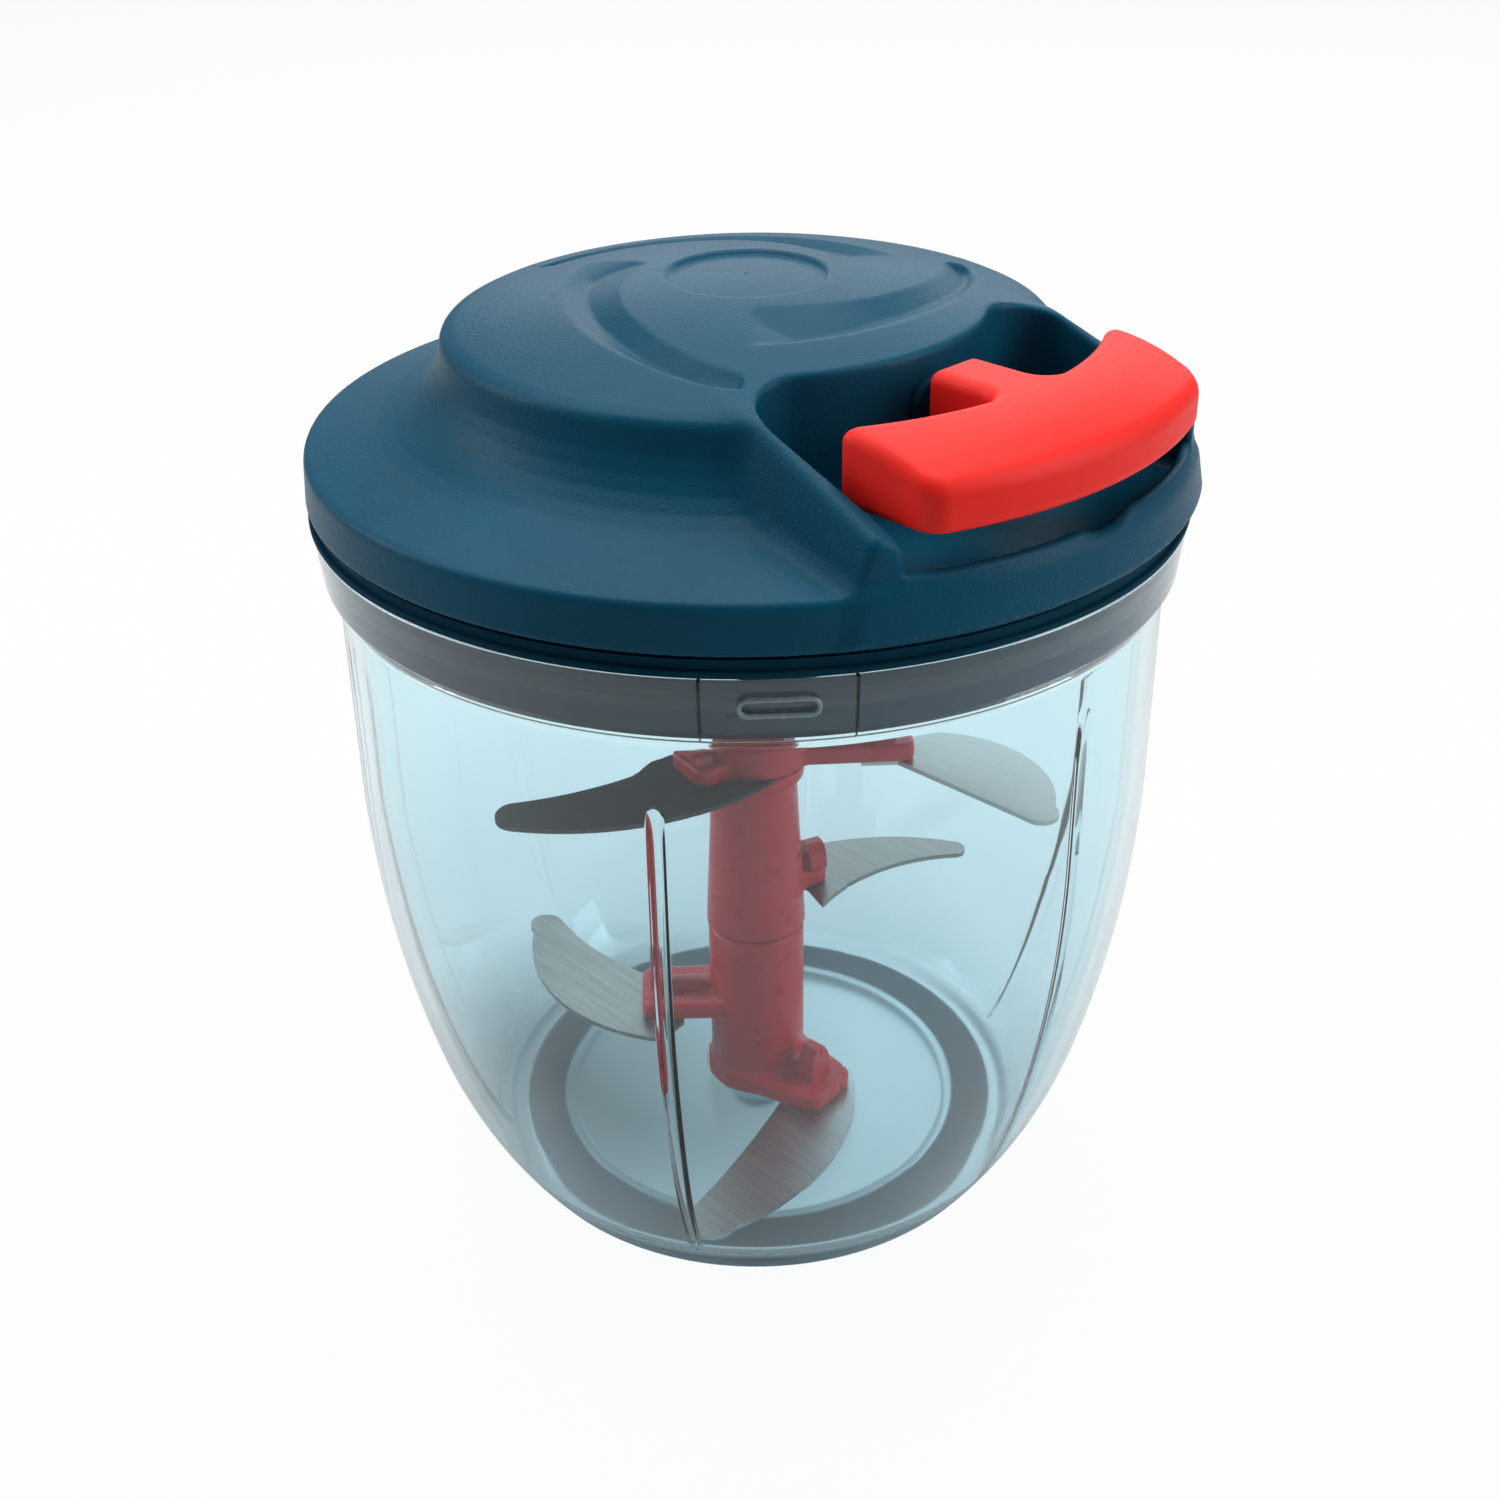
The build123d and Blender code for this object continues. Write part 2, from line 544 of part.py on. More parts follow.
FOOT_WIDTH = 2 * (SHAFT_RADIUS + FOOT_FLARE)
ARMS = {
    "top_left": Arm(-100.5, TOP_BLADE_HEIGHT, reach=5.0, root=9.4, width=9.4, clip=2.8, fin=1.6),
    "top_right": Arm(47.5, TOP_BLADE_HEIGHT, reach=17.5, root=9.4, width=8.4, clip=13.0, fin=1.6),
    "middle": Arm(70.5, MIDDLE_BLADE_HEIGHT, reach=4.6, root=13.2, width=13.2, clip=2.6, fin=4.0),
    "side": Arm(-132.5, SIDE_BLADE_HEIGHT, reach=11.6, root=12.4, width=11.4, clip=8.4, fin=7.5),
    "bottom": Arm(
        5.5, BOTTOM_BLADE_HEIGHT, reach=8.8, root=FOOT_WIDTH, width=10.4, clip=4.4, fin=6.5
    ),
}


def shaft_arm(name):
    arm = ARMS[name]
    root = arm.root / 2
    half = arm.width / 2
    plate = make_face(
        Polyline((0, -root), (arm.reach, -half), (arm.reach, half), (0, root), close=True)
    )
    tip = [v for v in plate.vertices() if v.X > arm.reach / 2]
    plate = fillet(tip, ARM_CORNER)
    rib_length = arm.clip - FIN_WIDTH
    rib = Box(rib_length, ARM_RIB_WIDTH, ARM_RIB_HEIGHT, align=FROM_AXIS)
    hole = Pos(arm.clip, 0, arm.bottom - MARGIN) * Cylinder(
        CLIP_RADIUS, ARM_THICKNESS + 2 * MARGIN, align=BOTTOM
    )
    body = slab(plate, arm.bottom, arm.top) + Pos(0, 0, arm.top) * rib - hole
    return place(arm.azimuth) * body


def make_blade_shaft_lower():
    stem = disc(SHAFT_RADIUS, SHAFT_BOTTOM, SEAM_HEIGHT)
    stem = chamfer(stem.edges().group_by(Axis.Z)[-1], SEAM_ROUNDING)
    spigot = disc(SPIGOT_RADIUS, SEAM_HEIGHT, SEAM_HEIGHT + SPIGOT_LENGTH)
    flare_top = SHAFT_BOTTOM + FOOT_FLARE_HEIGHT
    flare = turned_points(
        (0, SHAFT_BOTTOM),
        (SHAFT_RADIUS + FOOT_FLARE, SHAFT_BOTTOM),
        (SHAFT_RADIUS + FOOT_FLARE, flare_top),
        (SHAFT_RADIUS, flare_top + 2 * FOOT_FLARE),
        (0, flare_top + 2 * FOOT_FLARE),
    )
    bore_radius = PIN_RADIUS + RUNNING_FIT + SHAFT_BUSH_WALL
    bore = disc(bore_radius, SHAFT_BOTTOM - MARGIN, SHAFT_BUSH_TOP)
    return stem + spigot + flare + shaft_arm("side") + shaft_arm("bottom") - bore


def make_shaft_bush():
    bore_radius = PIN_RADIUS + RUNNING_FIT
    body = disc(bore_radius + SHAFT_BUSH_WALL, SHAFT_BOTTOM, SHAFT_BUSH_TOP)
    return body - disc(bore_radius, SHAFT_BOTTOM - MARGIN, PIN_TOP_HEIGHT + BODY_GAP)


def make_blade_shaft_upper():
    neck_top = TOP_BLADE_HEIGHT + BLADE_THICKNESS
    half_flat = HEX_ACROSS_FLATS / 2
    body = turned_points(
        (0, SEAM_HEIGHT),
        (SHAFT_RADIUS, SEAM_HEIGHT),
        (SHAFT_RADIUS + SEAM_LEDGE, SEAM_HEIGHT + SEAM_ROUNDING),
        (NECK_RADIUS, NECK_HEIGHT),
        (NECK_COLLAR_RADIUS, NECK_HEIGHT + NECK_COLLAR_SLOPE),
        (NECK_COLLAR_RADIUS, TOP_BLADE_HEIGHT),
        (NECK_RADIUS, TOP_BLADE_HEIGHT),
        (NECK_RADIUS, neck_top),
        (HUB_RADIUS, neck_top),
        (HUB_RADIUS, HUB_TOP - HUB_SHOULDER),
        (SPINDLE_RADIUS, HUB_TOP),
        (SPINDLE_RADIUS, HEX_BOTTOM - MARGIN),
        (half_flat, HEX_BOTTOM),
        (0, HEX_BOTTOM),
    )
    point = turned_points(
        (0, HEX_BOTTOM - 2 * MARGIN),
        (HEX_ACROSS_FLATS, HEX_BOTTOM - 2 * MARGIN),
        (HEX_ACROSS_FLATS, HEX_TOP - half_flat - HEX_POINT),
        (half_flat - HEX_POINT, HEX_TOP),
        (0, HEX_TOP),
    )
    tip = hexagon(HEX_ACROSS_FLATS, HEX_BOTTOM - MARGIN, HEX_TOP) & point
    arms = shaft_arm("top_left") + shaft_arm("top_right") + shaft_arm("middle")
    socket = disc(SPIGOT_RADIUS, SEAM_HEIGHT - MARGIN, SEAM_HEIGHT + SPIGOT_LENGTH)
    return body + tip + arms - socket


def blade_clip(arm):
    """A stud through blade and arm, with a head under the blade and a fin on the arm."""
    stud = Pos(0, 0, arm.blade_height) * Cylinder(
        CLIP_RADIUS, arm.top - arm.blade_height, align=BOTTOM
    )
    head = Pos(0, 0, arm.blade_height - CLIP_HEAD_HEIGHT) * Cylinder(
        CLIP_RADIUS + CLIP_HEAD_STEP, CLIP_HEAD_HEIGHT, align=BOTTOM
    )
    half = FIN_LENGTH / 2
    shoulder = arm.top + arm.fin * 0.7
    fin_side = make_face(
        Plane.YZ
        * Polyline(
            (-half, arm.top),
            (half, arm.top),
            (half * 0.8, shoulder),
            (half * 0.35, arm.top + arm.fin),
            (-half * 0.35, arm.top + arm.fin),
            (-half * 0.8, shoulder),
            close=True,
        )
    )
    fin = extrude(fin_side, FIN_WIDTH / 2, both=True)
    return place(arm.azimuth) * (Pos(arm.clip, 0, 0) * (stud + head + fin))


def make_blade_clips():
    return each_solid([blade_clip(arm) for arm in ARMS.values()])


# ---- blades --------------------------------------------------------------------------------------
class BladeForm:
    """A blade's outline in its arm's frame: out from the shaft's axis, and across the arm.

    back runs out along the convex back, tip round the end and edge in along the cutting edge;
    each is an arc through three points. root closes the outline round the shaft. The points are
    in shares of drawn, the distance from the axis to the tip that the outline was drawn for.
    Another reach stretches what lies beyond the clip's hole; the root keeps its place on the arm.
    """

    def __init__(self, arm, reach, drawn, relief, back, tip, edge, root):
        self.hole = arm.clip
        self.drawn = drawn
        self.reach = reach
        self.stretch = (reach - arm.clip) / (drawn - arm.clip)
        self.relief = relief + BLADE_RELIEF
        self.back = self.arc(*back)
        self.tip = self.arc(*tip)
        self.edge = self.arc(*edge)
        self.root = Polyline(*[self.sized(point) for point in (edge[2], *root, back[0])])

    def sized(self, point):
        out = self.drawn * point[0]
        if out > self.hole:
            out = self.hole + (out - self.hole) * self.stretch
        return out, self.reach * point[1]

    def arc(self, start, middle, end):
        return ThreePointArc(self.sized(start), self.sized(middle), self.sized(end))

    def face(self):
        return make_face(Curve() + [self.back, self.tip, self.edge, self.root])


KNEE_INNER_RADIUS = KNEE_RADIUS - BOWL_WALL
BLADES = {
    "top_left": BladeForm(
        arm=ARMS["top_left"],
        reach=INNER_RADIUS - TOP_LEFT_BLADE_GAP,
        drawn=42.4,
        relief=NECK_RADIUS,
        back=((0.047, 0.198), (0.483, 0.212), (0.99, -0.066)),
        tip=((0.99, -0.066), (1.012, -0.156), (0.925, -0.217)),
        edge=((0.925, -0.217), (0.66, -0.142), (0.455, -0.125)),
        root=((0.349, -0.175), (0.118, -0.175), (0.047, -0.094)),
    ),
    "top_right": BladeForm(
        arm=ARMS["top_right"],
        reach=INNER_RADIUS - TOP_RIGHT_BLADE_GAP,
        drawn=49.1,
        relief=NECK_RADIUS,
        back=((0.387, 0.067), (0.786, 0.033), (0.916, -0.387)),
        tip=((0.916, -0.387), (0.898, -0.46), (0.831, -0.46)),
        edge=((0.831, -0.46), (0.66, -0.277), (0.464, -0.073)),
        root=((0.346, -0.073), (0.346, 0.061)),
    ),
    "middle": BladeForm(
        arm=ARMS["middle"],
        reach=INNER_RADIUS - MIDDLE_BLADE_GAP,
        drawn=38.0,
        relief=SHAFT_RADIUS + SEAM_LEDGE,
        back=((0.237, 0.221), (0.671, 0.158), (0.995, -0.047)),
        tip=((0.995, -0.047), (1.0, -0.111), (0.942, -0.129)),
        edge=((0.942, -0.129), (0.605, -0.079), (0.221, -0.216)),
        root=((0.221, -0.132), (0.221, 0.132)),
    ),
    "side": BladeForm(
        arm=ARMS["side"],
        reach=KNEE_INNER_RADIUS - SIDE_BLADE_GAP,
        drawn=46.9,
        relief=SHAFT_RADIUS,
        back=((0.354, 0.226), (0.725, -0.015), (0.851, -0.469)),
        tip=((0.851, -0.469), (0.829, -0.574), (0.759, -0.563)),
        edge=((0.759, -0.563), (0.631, -0.358), (0.371, -0.136)),
        root=((0.269, -0.107), (0.269, 0.128)),
    ),
    "bottom": BladeForm(
        arm=ARMS["bottom"],
        reach=FLOOR_CORNER_RADIUS - BOTTOM_BLADE_GAP,
        drawn=40.8,
        relief=PIN_BOSS_RADIUS + BODY_GAP,
        back=((0.355, 0.201), (0.622, -0.294), (0.556, -0.819)),
        tip=((0.556, -0.819), (0.49, -0.929), (0.377, -0.882)),
        edge=((0.377, -0.882), (0.328, -0.527), (0.235, -0.113)),
        root=((0.186, -0.049), (0.186, 0.098)),
    ),
}


def edge_bevel(edge):
    """The steel that is ground away along a cutting edge."""
    low = BLADE_THICKNESS - BEVEL_DEPTH
    section = make_face(
        Polyline(
            (-MARGIN, BLADE_THICKNESS + MARGIN),
            (-MARGIN, low),
            (0, low),
            (BEVEL_WIDTH, BLADE_THICKNESS),
            (BEVEL_WIDTH, BLADE_THICKNESS + MARGIN),
            close=True,
        )
    )
    along = edge.tangent_at(0)
    start = Plane(origin=edge @ 0, x_dir=along.rotate(Axis.Z, -90), z_dir=along)
    return sweep(start * section, path=edge)


def make_blade(name):
    """A curved steel blade, ground on its inner edge, with a hole for its clip."""
    arm = ARMS[name]
    form = BLADES[name]
    plate = slab(form.face(), 0, BLADE_THICKNESS)
    hole = Pos(arm.clip, 0, 0) * Cylinder(CLIP_RADIUS, 4 * BLADE_THICKNESS)
    relief = Cylinder(form.relief, 4 * BLADE_THICKNESS)
    blade = plate - edge_bevel(form.edge) - hole - relief
    return place(arm.azimuth, arm.blade_height) * blade


# ---- lid cover -----------------------------------------------------------------------------------
def near(face, point):
    """The corners of a face that lie on a point."""
    return [v for v in face.vertices() if (Vector(*point) - Vector(v)).length < 0.01]


def cover_profile():
    """Half section of the cover's outer form, closed along the axis and the rim."""
    rim = (COVER_RADIUS, COVER_RIM_HEIGHT)
    edge = (BAND_TOP_RADIUS, BAND_TOP_HEIGHT)
    foot = (FLANGE_INNER_RADIUS, FLANGE_INNER_HEIGHT)
    crest = (CREST_RADIUS, CREST_HEIGHT)
    crown = (0, CROWN_HEIGHT)
    flange = Line(edge, foot)
    side = TangentArc(foot, crest, tangent=flange % 1)
    dome = RadiusArc(crown, crest, CROWN_RADIUS)
    closing = Polyline(crown, (0, COVER_RIM_HEIGHT), rim)
    face = make_face(Curve() + [Line(rim, edge), flange, side, dome, closing])
    face = fillet(near(face, crest), CREST_ROUNDING)
    return fillet(near(face, edge), BAND_EDGE_ROUNDING)


def cover_hollow():
    """The cover's form drawn in by the wall, and run out to the axis and past the rim."""
    inner = offset(cover_profile(), -COVER_WALL)
    ceiling = CROWN_HEIGHT - COVER_WALL
    low = COVER_RIM_HEIGHT - MARGIN
    axis_strip = Pos(COVER_WALL, (low + ceiling) / 2) * Rectangle(2 * COVER_WALL, ceiling - low)
    rim_strip_height = COVER_WALL + 2 * MARGIN
    rim_strip = Pos(GAP_IN_COVER / 2, low + rim_strip_height / 2) * Rectangle(
        GAP_IN_COVER, rim_strip_height
    )
    return revolve(Plane.XZ * (inner + axis_strip + rim_strip), Axis.Z)


def pocket_plan(grow=0.0):
    """The pocket seen from above: a round back, two straight sides, open at the rim."""
    reach = COVER_RADIUS + POCKET_HALF_WIDTH
    plan = Pos(0, -reach / 2) * Rectangle(2 * POCKET_HALF_WIDTH, reach)
    plan -= Circle(POCKET_BACK_RADIUS)
    rounded = offset(offset(plan, -POCKET_CORNER), POCKET_CORNER, kind=Kind.ARC)
    return offset(rounded, grow, kind=Kind.ARC) if grow else rounded


def cheek_block():
    """The raised block that the pocket is cut from; what is left of it are the two cheeks."""
    half = POCKET_HALF_WIDTH + CHEEK_TOP_THICKNESS
    low = BAND_TOP_HEIGHT - 2 * MARGIN
    top = CREST_HEIGHT + MARGIN / 2
    spread = (top - low) * tan(radians(CHEEK_DRAFT))
    front = Plane.XZ * Polyline(
        (-half - spread, low), (half + spread, low), (half, top), (-half, top), close=True
    )
    run = extrude(make_face(front), COVER_RADIUS + MARGIN)
    start = sqrt(CREST_RADIUS**2 - POCKET_HALF_WIDTH**2)
    end = sqrt(CHEEK_END_RADIUS**2 - POCKET_HALF_WIDTH**2)
    side = Plane.YZ * Polyline(
        (0, low),
        (0, top),
        (-start, top),
        (-end, CHEEK_END_HEIGHT),
        (-end - CHEEK_END_SLOPE, LIP_HEIGHT),
        (-COVER_RADIUS - MARGIN, LIP_HEIGHT),
        (-COVER_RADIUS - MARGIN, low),
        close=True,
    )
    ridge = extrude(make_face(side), half + spread + MARGIN, both=True)
    rim = turned_points(
        (0, low),
        (BAND_TOP_RADIUS, low),
        (BAND_TOP_RADIUS, BAND_TOP_HEIGHT),
        (LIP_RADIUS, LIP_HEIGHT),
        (LIP_RADIUS, CROWN_HEIGHT),
        (0, CROWN_HEIGHT),
    )
    return run & ridge & rim


def pocket_cut():
    plan = pocket_plan()
    over_lip = slab(plan, LIP_HEIGHT, CROWN_HEIGHT + MARGIN)
    behind_lip = slab(plan & Circle(LIP_RADIUS - LIP_WIDTH), POCKET_FLOOR, CROWN_HEIGHT)
    notch_height = LIP_HEIGHT - NOTCH_DEPTH + NOTCH_RADIUS
    notch = rod(NOTCH_RADIUS, LIP_RADIUS - 3 * LIP_WIDTH, 6 * LIP_WIDTH, notch_height)
    return over_lip + behind_lip + Rot(0, 0, NOTCH_AZIMUTH) * notch


def swirl_plan():
    """One swirl: a blunt tail, a body that widens as it winds in, and a square-cut head."""
    room = POCKET_BACK_RADIUS - DISC_RADIUS

    def ring(share, azimuth):
        return flat(DISC_RADIUS + share * room, azimuth)

    back = Spline(
        ring(1.08, 0), ring(0.93, -19), ring(0.79, -43), ring(0.69, -70), ring(0.65, -97),
        ring(0.66, -119),
    )
    front = Spline(
        ring(0.95, 0), ring(0.74, -17), ring(0.48, -42), ring(0.31, -68), ring(0.21, -94),
        ring(0.17, -114),
    )
    head = Polyline(back @ 1, ring(0.42, -119), ring(0.28, -118), front @ 1)
    return make_face(Curve() + [back, front, head, Line(back @ 0, front @ 0)])


def swirl_cut():
    """Three shallow swirl arrows round the middle disc, sunk to one depth below the crown."""
    lowered = CROWN_HEIGHT - SWIRL_DEPTH
    crest = CREST_HEIGHT - SWIRL_DEPTH
    clear = CROWN_HEIGHT + MARGIN
    above = turned(
        RadiusArc((0, lowered), (CREST_RADIUS, crest), CROWN_RADIUS),
        Polyline((CREST_RADIUS, crest), (CREST_RADIUS, clear), (0, clear), (0, lowered)),
    )
    turns = spaced(SWIRL_COUNT, SWIRL_AZIMUTH)
    plans = Sketch() + [Rot(0, 0, azimuth) * swirl_plan() for azimuth in turns]
    return above & slab(plans, crest - MARGIN, clear)


def screw_places(height):
    azimuths = spaced(SCREW_COUNT, SCREW_AZIMUTH)
    return [Pos(*at(SCREW_CIRCLE_RADIUS, azimuth, height)) for azimuth in azimuths]


def make_lid_cover():
    outer = revolve(Plane.XZ * cover_profile(), Axis.Z)
    disc_cut = disc(DISC_RADIUS, DISC_EDGE_HEIGHT - DISC_DEPTH, CROWN_HEIGHT + MARGIN)
    form = outer + cheek_block() - pocket_cut() - disc_cut - swirl_cut()
    pocket_walls = slab(
        pocket_plan(COVER_WALL), POCKET_FLOOR - COVER_WALL, CROWN_HEIGHT + MARGIN
    )
    shell = form - (cover_hollow() - pocket_walls)
    boss_height = FLANGE_INNER_HEIGHT - COVER_WALL / 2 - BASE_PLATE_TOP
    boss = Cylinder(SCREW_BOSS_RADIUS, boss_height, align=BOTTOM)
    bosses = Part() + [spot * boss for spot in screw_places(BASE_PLATE_TOP)]
    hole = Cylinder(SCREW_SHANK_RADIUS, SCREW_LENGTH, align=BOTTOM)
    holes = Part() + [spot * hole for spot in screw_places(BASE_PLATE_BOTTOM)]
    axle_boss = disc(ARBOR_RADIUS, ARBOR_TOP, CROWN_HEIGHT - COVER_WALL)
    axle_hole = disc(AXLE_RADIUS, ARBOR_TOP - MARGIN, AXLE_TOP)
    eyelet_hole = rod(
        EYELET_RADIUS, POCKET_BACK_RADIUS - 2 * COVER_WALL, 4 * COVER_WALL, CORD_HEIGHT
    )
    return shell + bosses + axle_boss - holes - axle_hole - eyelet_hole


# ---- lid base ------------------------------------------------------------------------------------
def make_lid_base():
    """Lower housing of the lid: floor, skirt that plugs the bowl, flange and centre boss."""
    skirt_inner = SKIRT_RADIUS - SKIRT_WALL
    spigot_outer = GAP_IN_COVER - INNER_SPIGOT_GAP
    spigot_inner = spigot_outer - INNER_SPIGOT_WALL
    spigot_top = POCKET_FLOOR - COVER_WALL - INNER_SPIGOT_UNDER_POCKET
    body = turned_points(
        (BOSS_BORE_RADIUS, BUSH_BOTTOM),
        (BOSS_RADIUS, BUSH_BOTTOM),
        (BOSS_RADIUS, BASE_PLATE_BOTTOM),
        (skirt_inner, BASE_PLATE_BOTTOM),
        (skirt_inner, SKIRT_BOTTOM),
        (SKIRT_RADIUS, SKIRT_BOTTOM),
        (SKIRT_RADIUS, RIM_FLANGE_BOTTOM),
        (RIM_FLANGE_RADIUS, RIM_FLANGE_BOTTOM),
        (RIM_FLANGE_RADIUS, RIM_FLANGE_TOP),
        (spigot_outer, RIM_FLANGE_TOP),
        (spigot_outer, spigot_top),
        (spigot_inner, spigot_top),
        (spigot_inner, RIM_FLANGE_TOP),
        (skirt_inner, RIM_FLANGE_BOTTOM),
        (skirt_inner, BASE_PLATE_TOP),
        (BOSS_RADIUS, BASE_PLATE_TOP),
        (BOSS_RADIUS, BUSH_TOP),
        (BOSS_BORE_RADIUS, BUSH_TOP),
    )
    groove = tube(
        SKIRT_RADIUS + MARGIN, SKIRT_RADIUS - SEAL_GROOVE_DEPTH, SEAL_GROOVE_BOTTOM, SEAL_GROOVE_TOP
    )
    lug_radius = WINDOW_RADIUS - BODY_GAP
    lugs = Part() + [
        wedge(
            SKIRT_RADIUS - MARGIN,
            lug_radius,
            azimuth,
            chord(lug_radius, LUG_SPAN),
            LUG_BOTTOM,
            LUG_BOTTOM + LUG_HEIGHT,
        )
        for azimuth in spaced(CATCH_COUNT, CATCH_AZIMUTH)
    ]
    stiffener = Pos(BOSS_RADIUS - MARGIN, 0) * Box(
        skirt_inner - BOSS_RADIUS, STIFFENER_WIDTH, STIFFENER_HEIGHT, align=FROM_AXIS
    )
    azimuths = spaced(STIFFENER_COUNT, SCREW_AZIMUTH / 2)
    stiffeners = Part() + [place(azimuth, BASE_PLATE_TOP) * stiffener for azimuth in azimuths]
    hole = Cylinder(SCREW_SHANK_RADIUS + SCREW_HOLE_GAP, BASE_PLATE_THICKNESS + 2 * MARGIN,
                    align=BOTTOM)
    holes = Part() + [spot * hole for spot in screw_places(BASE_PLATE_BOTTOM - MARGIN)]
    return body - groove + lugs + stiffeners - holes


def make_lid_seal():
    groove_floor = SKIRT_RADIUS - SEAL_GROOVE_DEPTH
    middle = (SEAL_GROOVE_BOTTOM + SEAL_GROOVE_TOP) / 2
    return turned_points(
        (groove_floor, SEAL_GROOVE_BOTTOM),
        (SKIRT_RADIUS, SEAL_GROOVE_BOTTOM),
        (COLLAR_BORE_RADIUS - SEAL_GAP, middle),
        (SKIRT_RADIUS, SEAL_GROOVE_TOP),
        (groove_floor, SEAL_GROOVE_TOP),
    )


def make_housing_screws():
    """Screws that come up through the lid base into the cover's bosses."""
    shank = Cylinder(SCREW_SHANK_RADIUS, SCREW_LENGTH, align=BOTTOM)
    head = Pos(0, 0, -SCREW_HEAD_HEIGHT) * Cylinder(
        SCREW_HEAD_RADIUS, SCREW_HEAD_HEIGHT, align=BOTTOM
    )
    head = fillet(head.edges().group_by(Axis.Z)[0], SCREW_HEAD_HEIGHT / 2)
    slot = Box(SCREW_HEAD_RADIUS, SCREW_SLOT_WIDTH, SCREW_HEAD_HEIGHT)
    cross = Pos(0, 0, -SCREW_HEAD_HEIGHT) * (slot + Rot(0, 0, 90) * slot)
    screw = shank + head - cross
    return each_solid([spot * screw for spot in screw_places(BASE_PLATE_BOTTOM)])


# ---- drive ---------------------------------------------------------------------------------------
def make_hub_bush():
    bore_radius = HUB_SLEEVE_RADIUS + RUNNING_FIT
    return tube(bore_radius + BUSH_WALL, bore_radius, BUSH_BOTTOM, BUSH_TOP)


def make_drive_hub():
    """Turns in the bush; its hexagonal socket takes the blade shaft, its disc the pawls."""
    tail = BUSH_BOTTOM - SLEEVE_TAIL
    sleeve = disc(HUB_SLEEVE_RADIUS, tail, CLUTCH_DISC_TOP)
    clutch_disc = disc(CLUTCH_DISC_RADIUS, CLUTCH_DISC_BOTTOM, CLUTCH_DISC_TOP)
    socket = hexagon(HEX_ACROSS_FLATS + 2 * HEX_GAP, tail - MARGIN, HEX_TOP + BODY_GAP)
    bore = disc(AXLE_RADIUS + RUNNING_FIT, AXLE_BOTTOM - BODY_GAP, CLUTCH_DISC_TOP + MARGIN)
    pin = Cylinder(PAWL_PIN_RADIUS, PAWL_THICKNESS, align=BOTTOM)
    azimuths = spaced(PAWL_COUNT, 0)
    pins = Part() + [
        Pos(*at(PAWL_PIVOT_RADIUS, azimuth, CLUTCH_DISC_TOP)) * pin for azimuth in azimuths
    ]
    return sleeve + clutch_disc + pins - socket - bore


def pawl_plan():
    """A pawl on its pivot at azimuth 0 that reaches out and round to a ratchet tooth."""
    tip_azimuth = RATCHET_AZIMUTH - PAWL_HEAD_RADIUS / 2
    shoulder = flat(RATCHET_TIP_RADIUS - PAWL_HEAD_RADIUS / 2, tip_azimuth / 3)
    back = flat(RATCHET_TIP_RADIUS - PAWL_TIP_GAP / 2, tip_azimuth * 2 / 3)
    tip = flat(RATCHET_ROOT_RADIUS - PAWL_TIP_GAP, tip_azimuth)
    heel = flat(RATCHET_TIP_RADIUS - PAWL_HEAD_RADIUS / 3, tip_azimuth - PAWL_TIP_GAP)
    inner = flat(RATCHET_TIP_RADIUS - PAWL_HEAD_RADIUS, tip_azimuth * 0.8)
    root = flat(PAWL_PIVOT_RADIUS - PAWL_HEAD_RADIUS / 2, tip_azimuth / 3)
    start = (0, -PAWL_PIVOT_RADIUS)
    arm = make_face(Polyline(start, shoulder, back, tip, heel, inner, root, close=True))
    pivot = Pos(0, -PAWL_PIVOT_RADIUS)
    return arm + pivot * Circle(PAWL_HEAD_RADIUS) - pivot * Circle(PAWL_PIN_RADIUS)


def make_clutch_pawls():
    pawl = slab(pawl_plan(), CLUTCH_DISC_TOP, PAWL_TOP)
    return each_solid([Rot(0, 0, azimuth) * pawl for azimuth in spaced(PAWL_COUNT, 0)])


def ratchet_opening():
    """The toothed hole of the ratchet ring: each tooth has a ramp and a square face."""
    points = []
    for azimuth in spaced(RATCHET_TEETH, RATCHET_AZIMUTH):
        points.append(flat(RATCHET_ROOT_RADIUS, azimuth))
        points.append(flat(RATCHET_TIP_RADIUS, azimuth))
    return make_face(Polyline(*points, close=True))


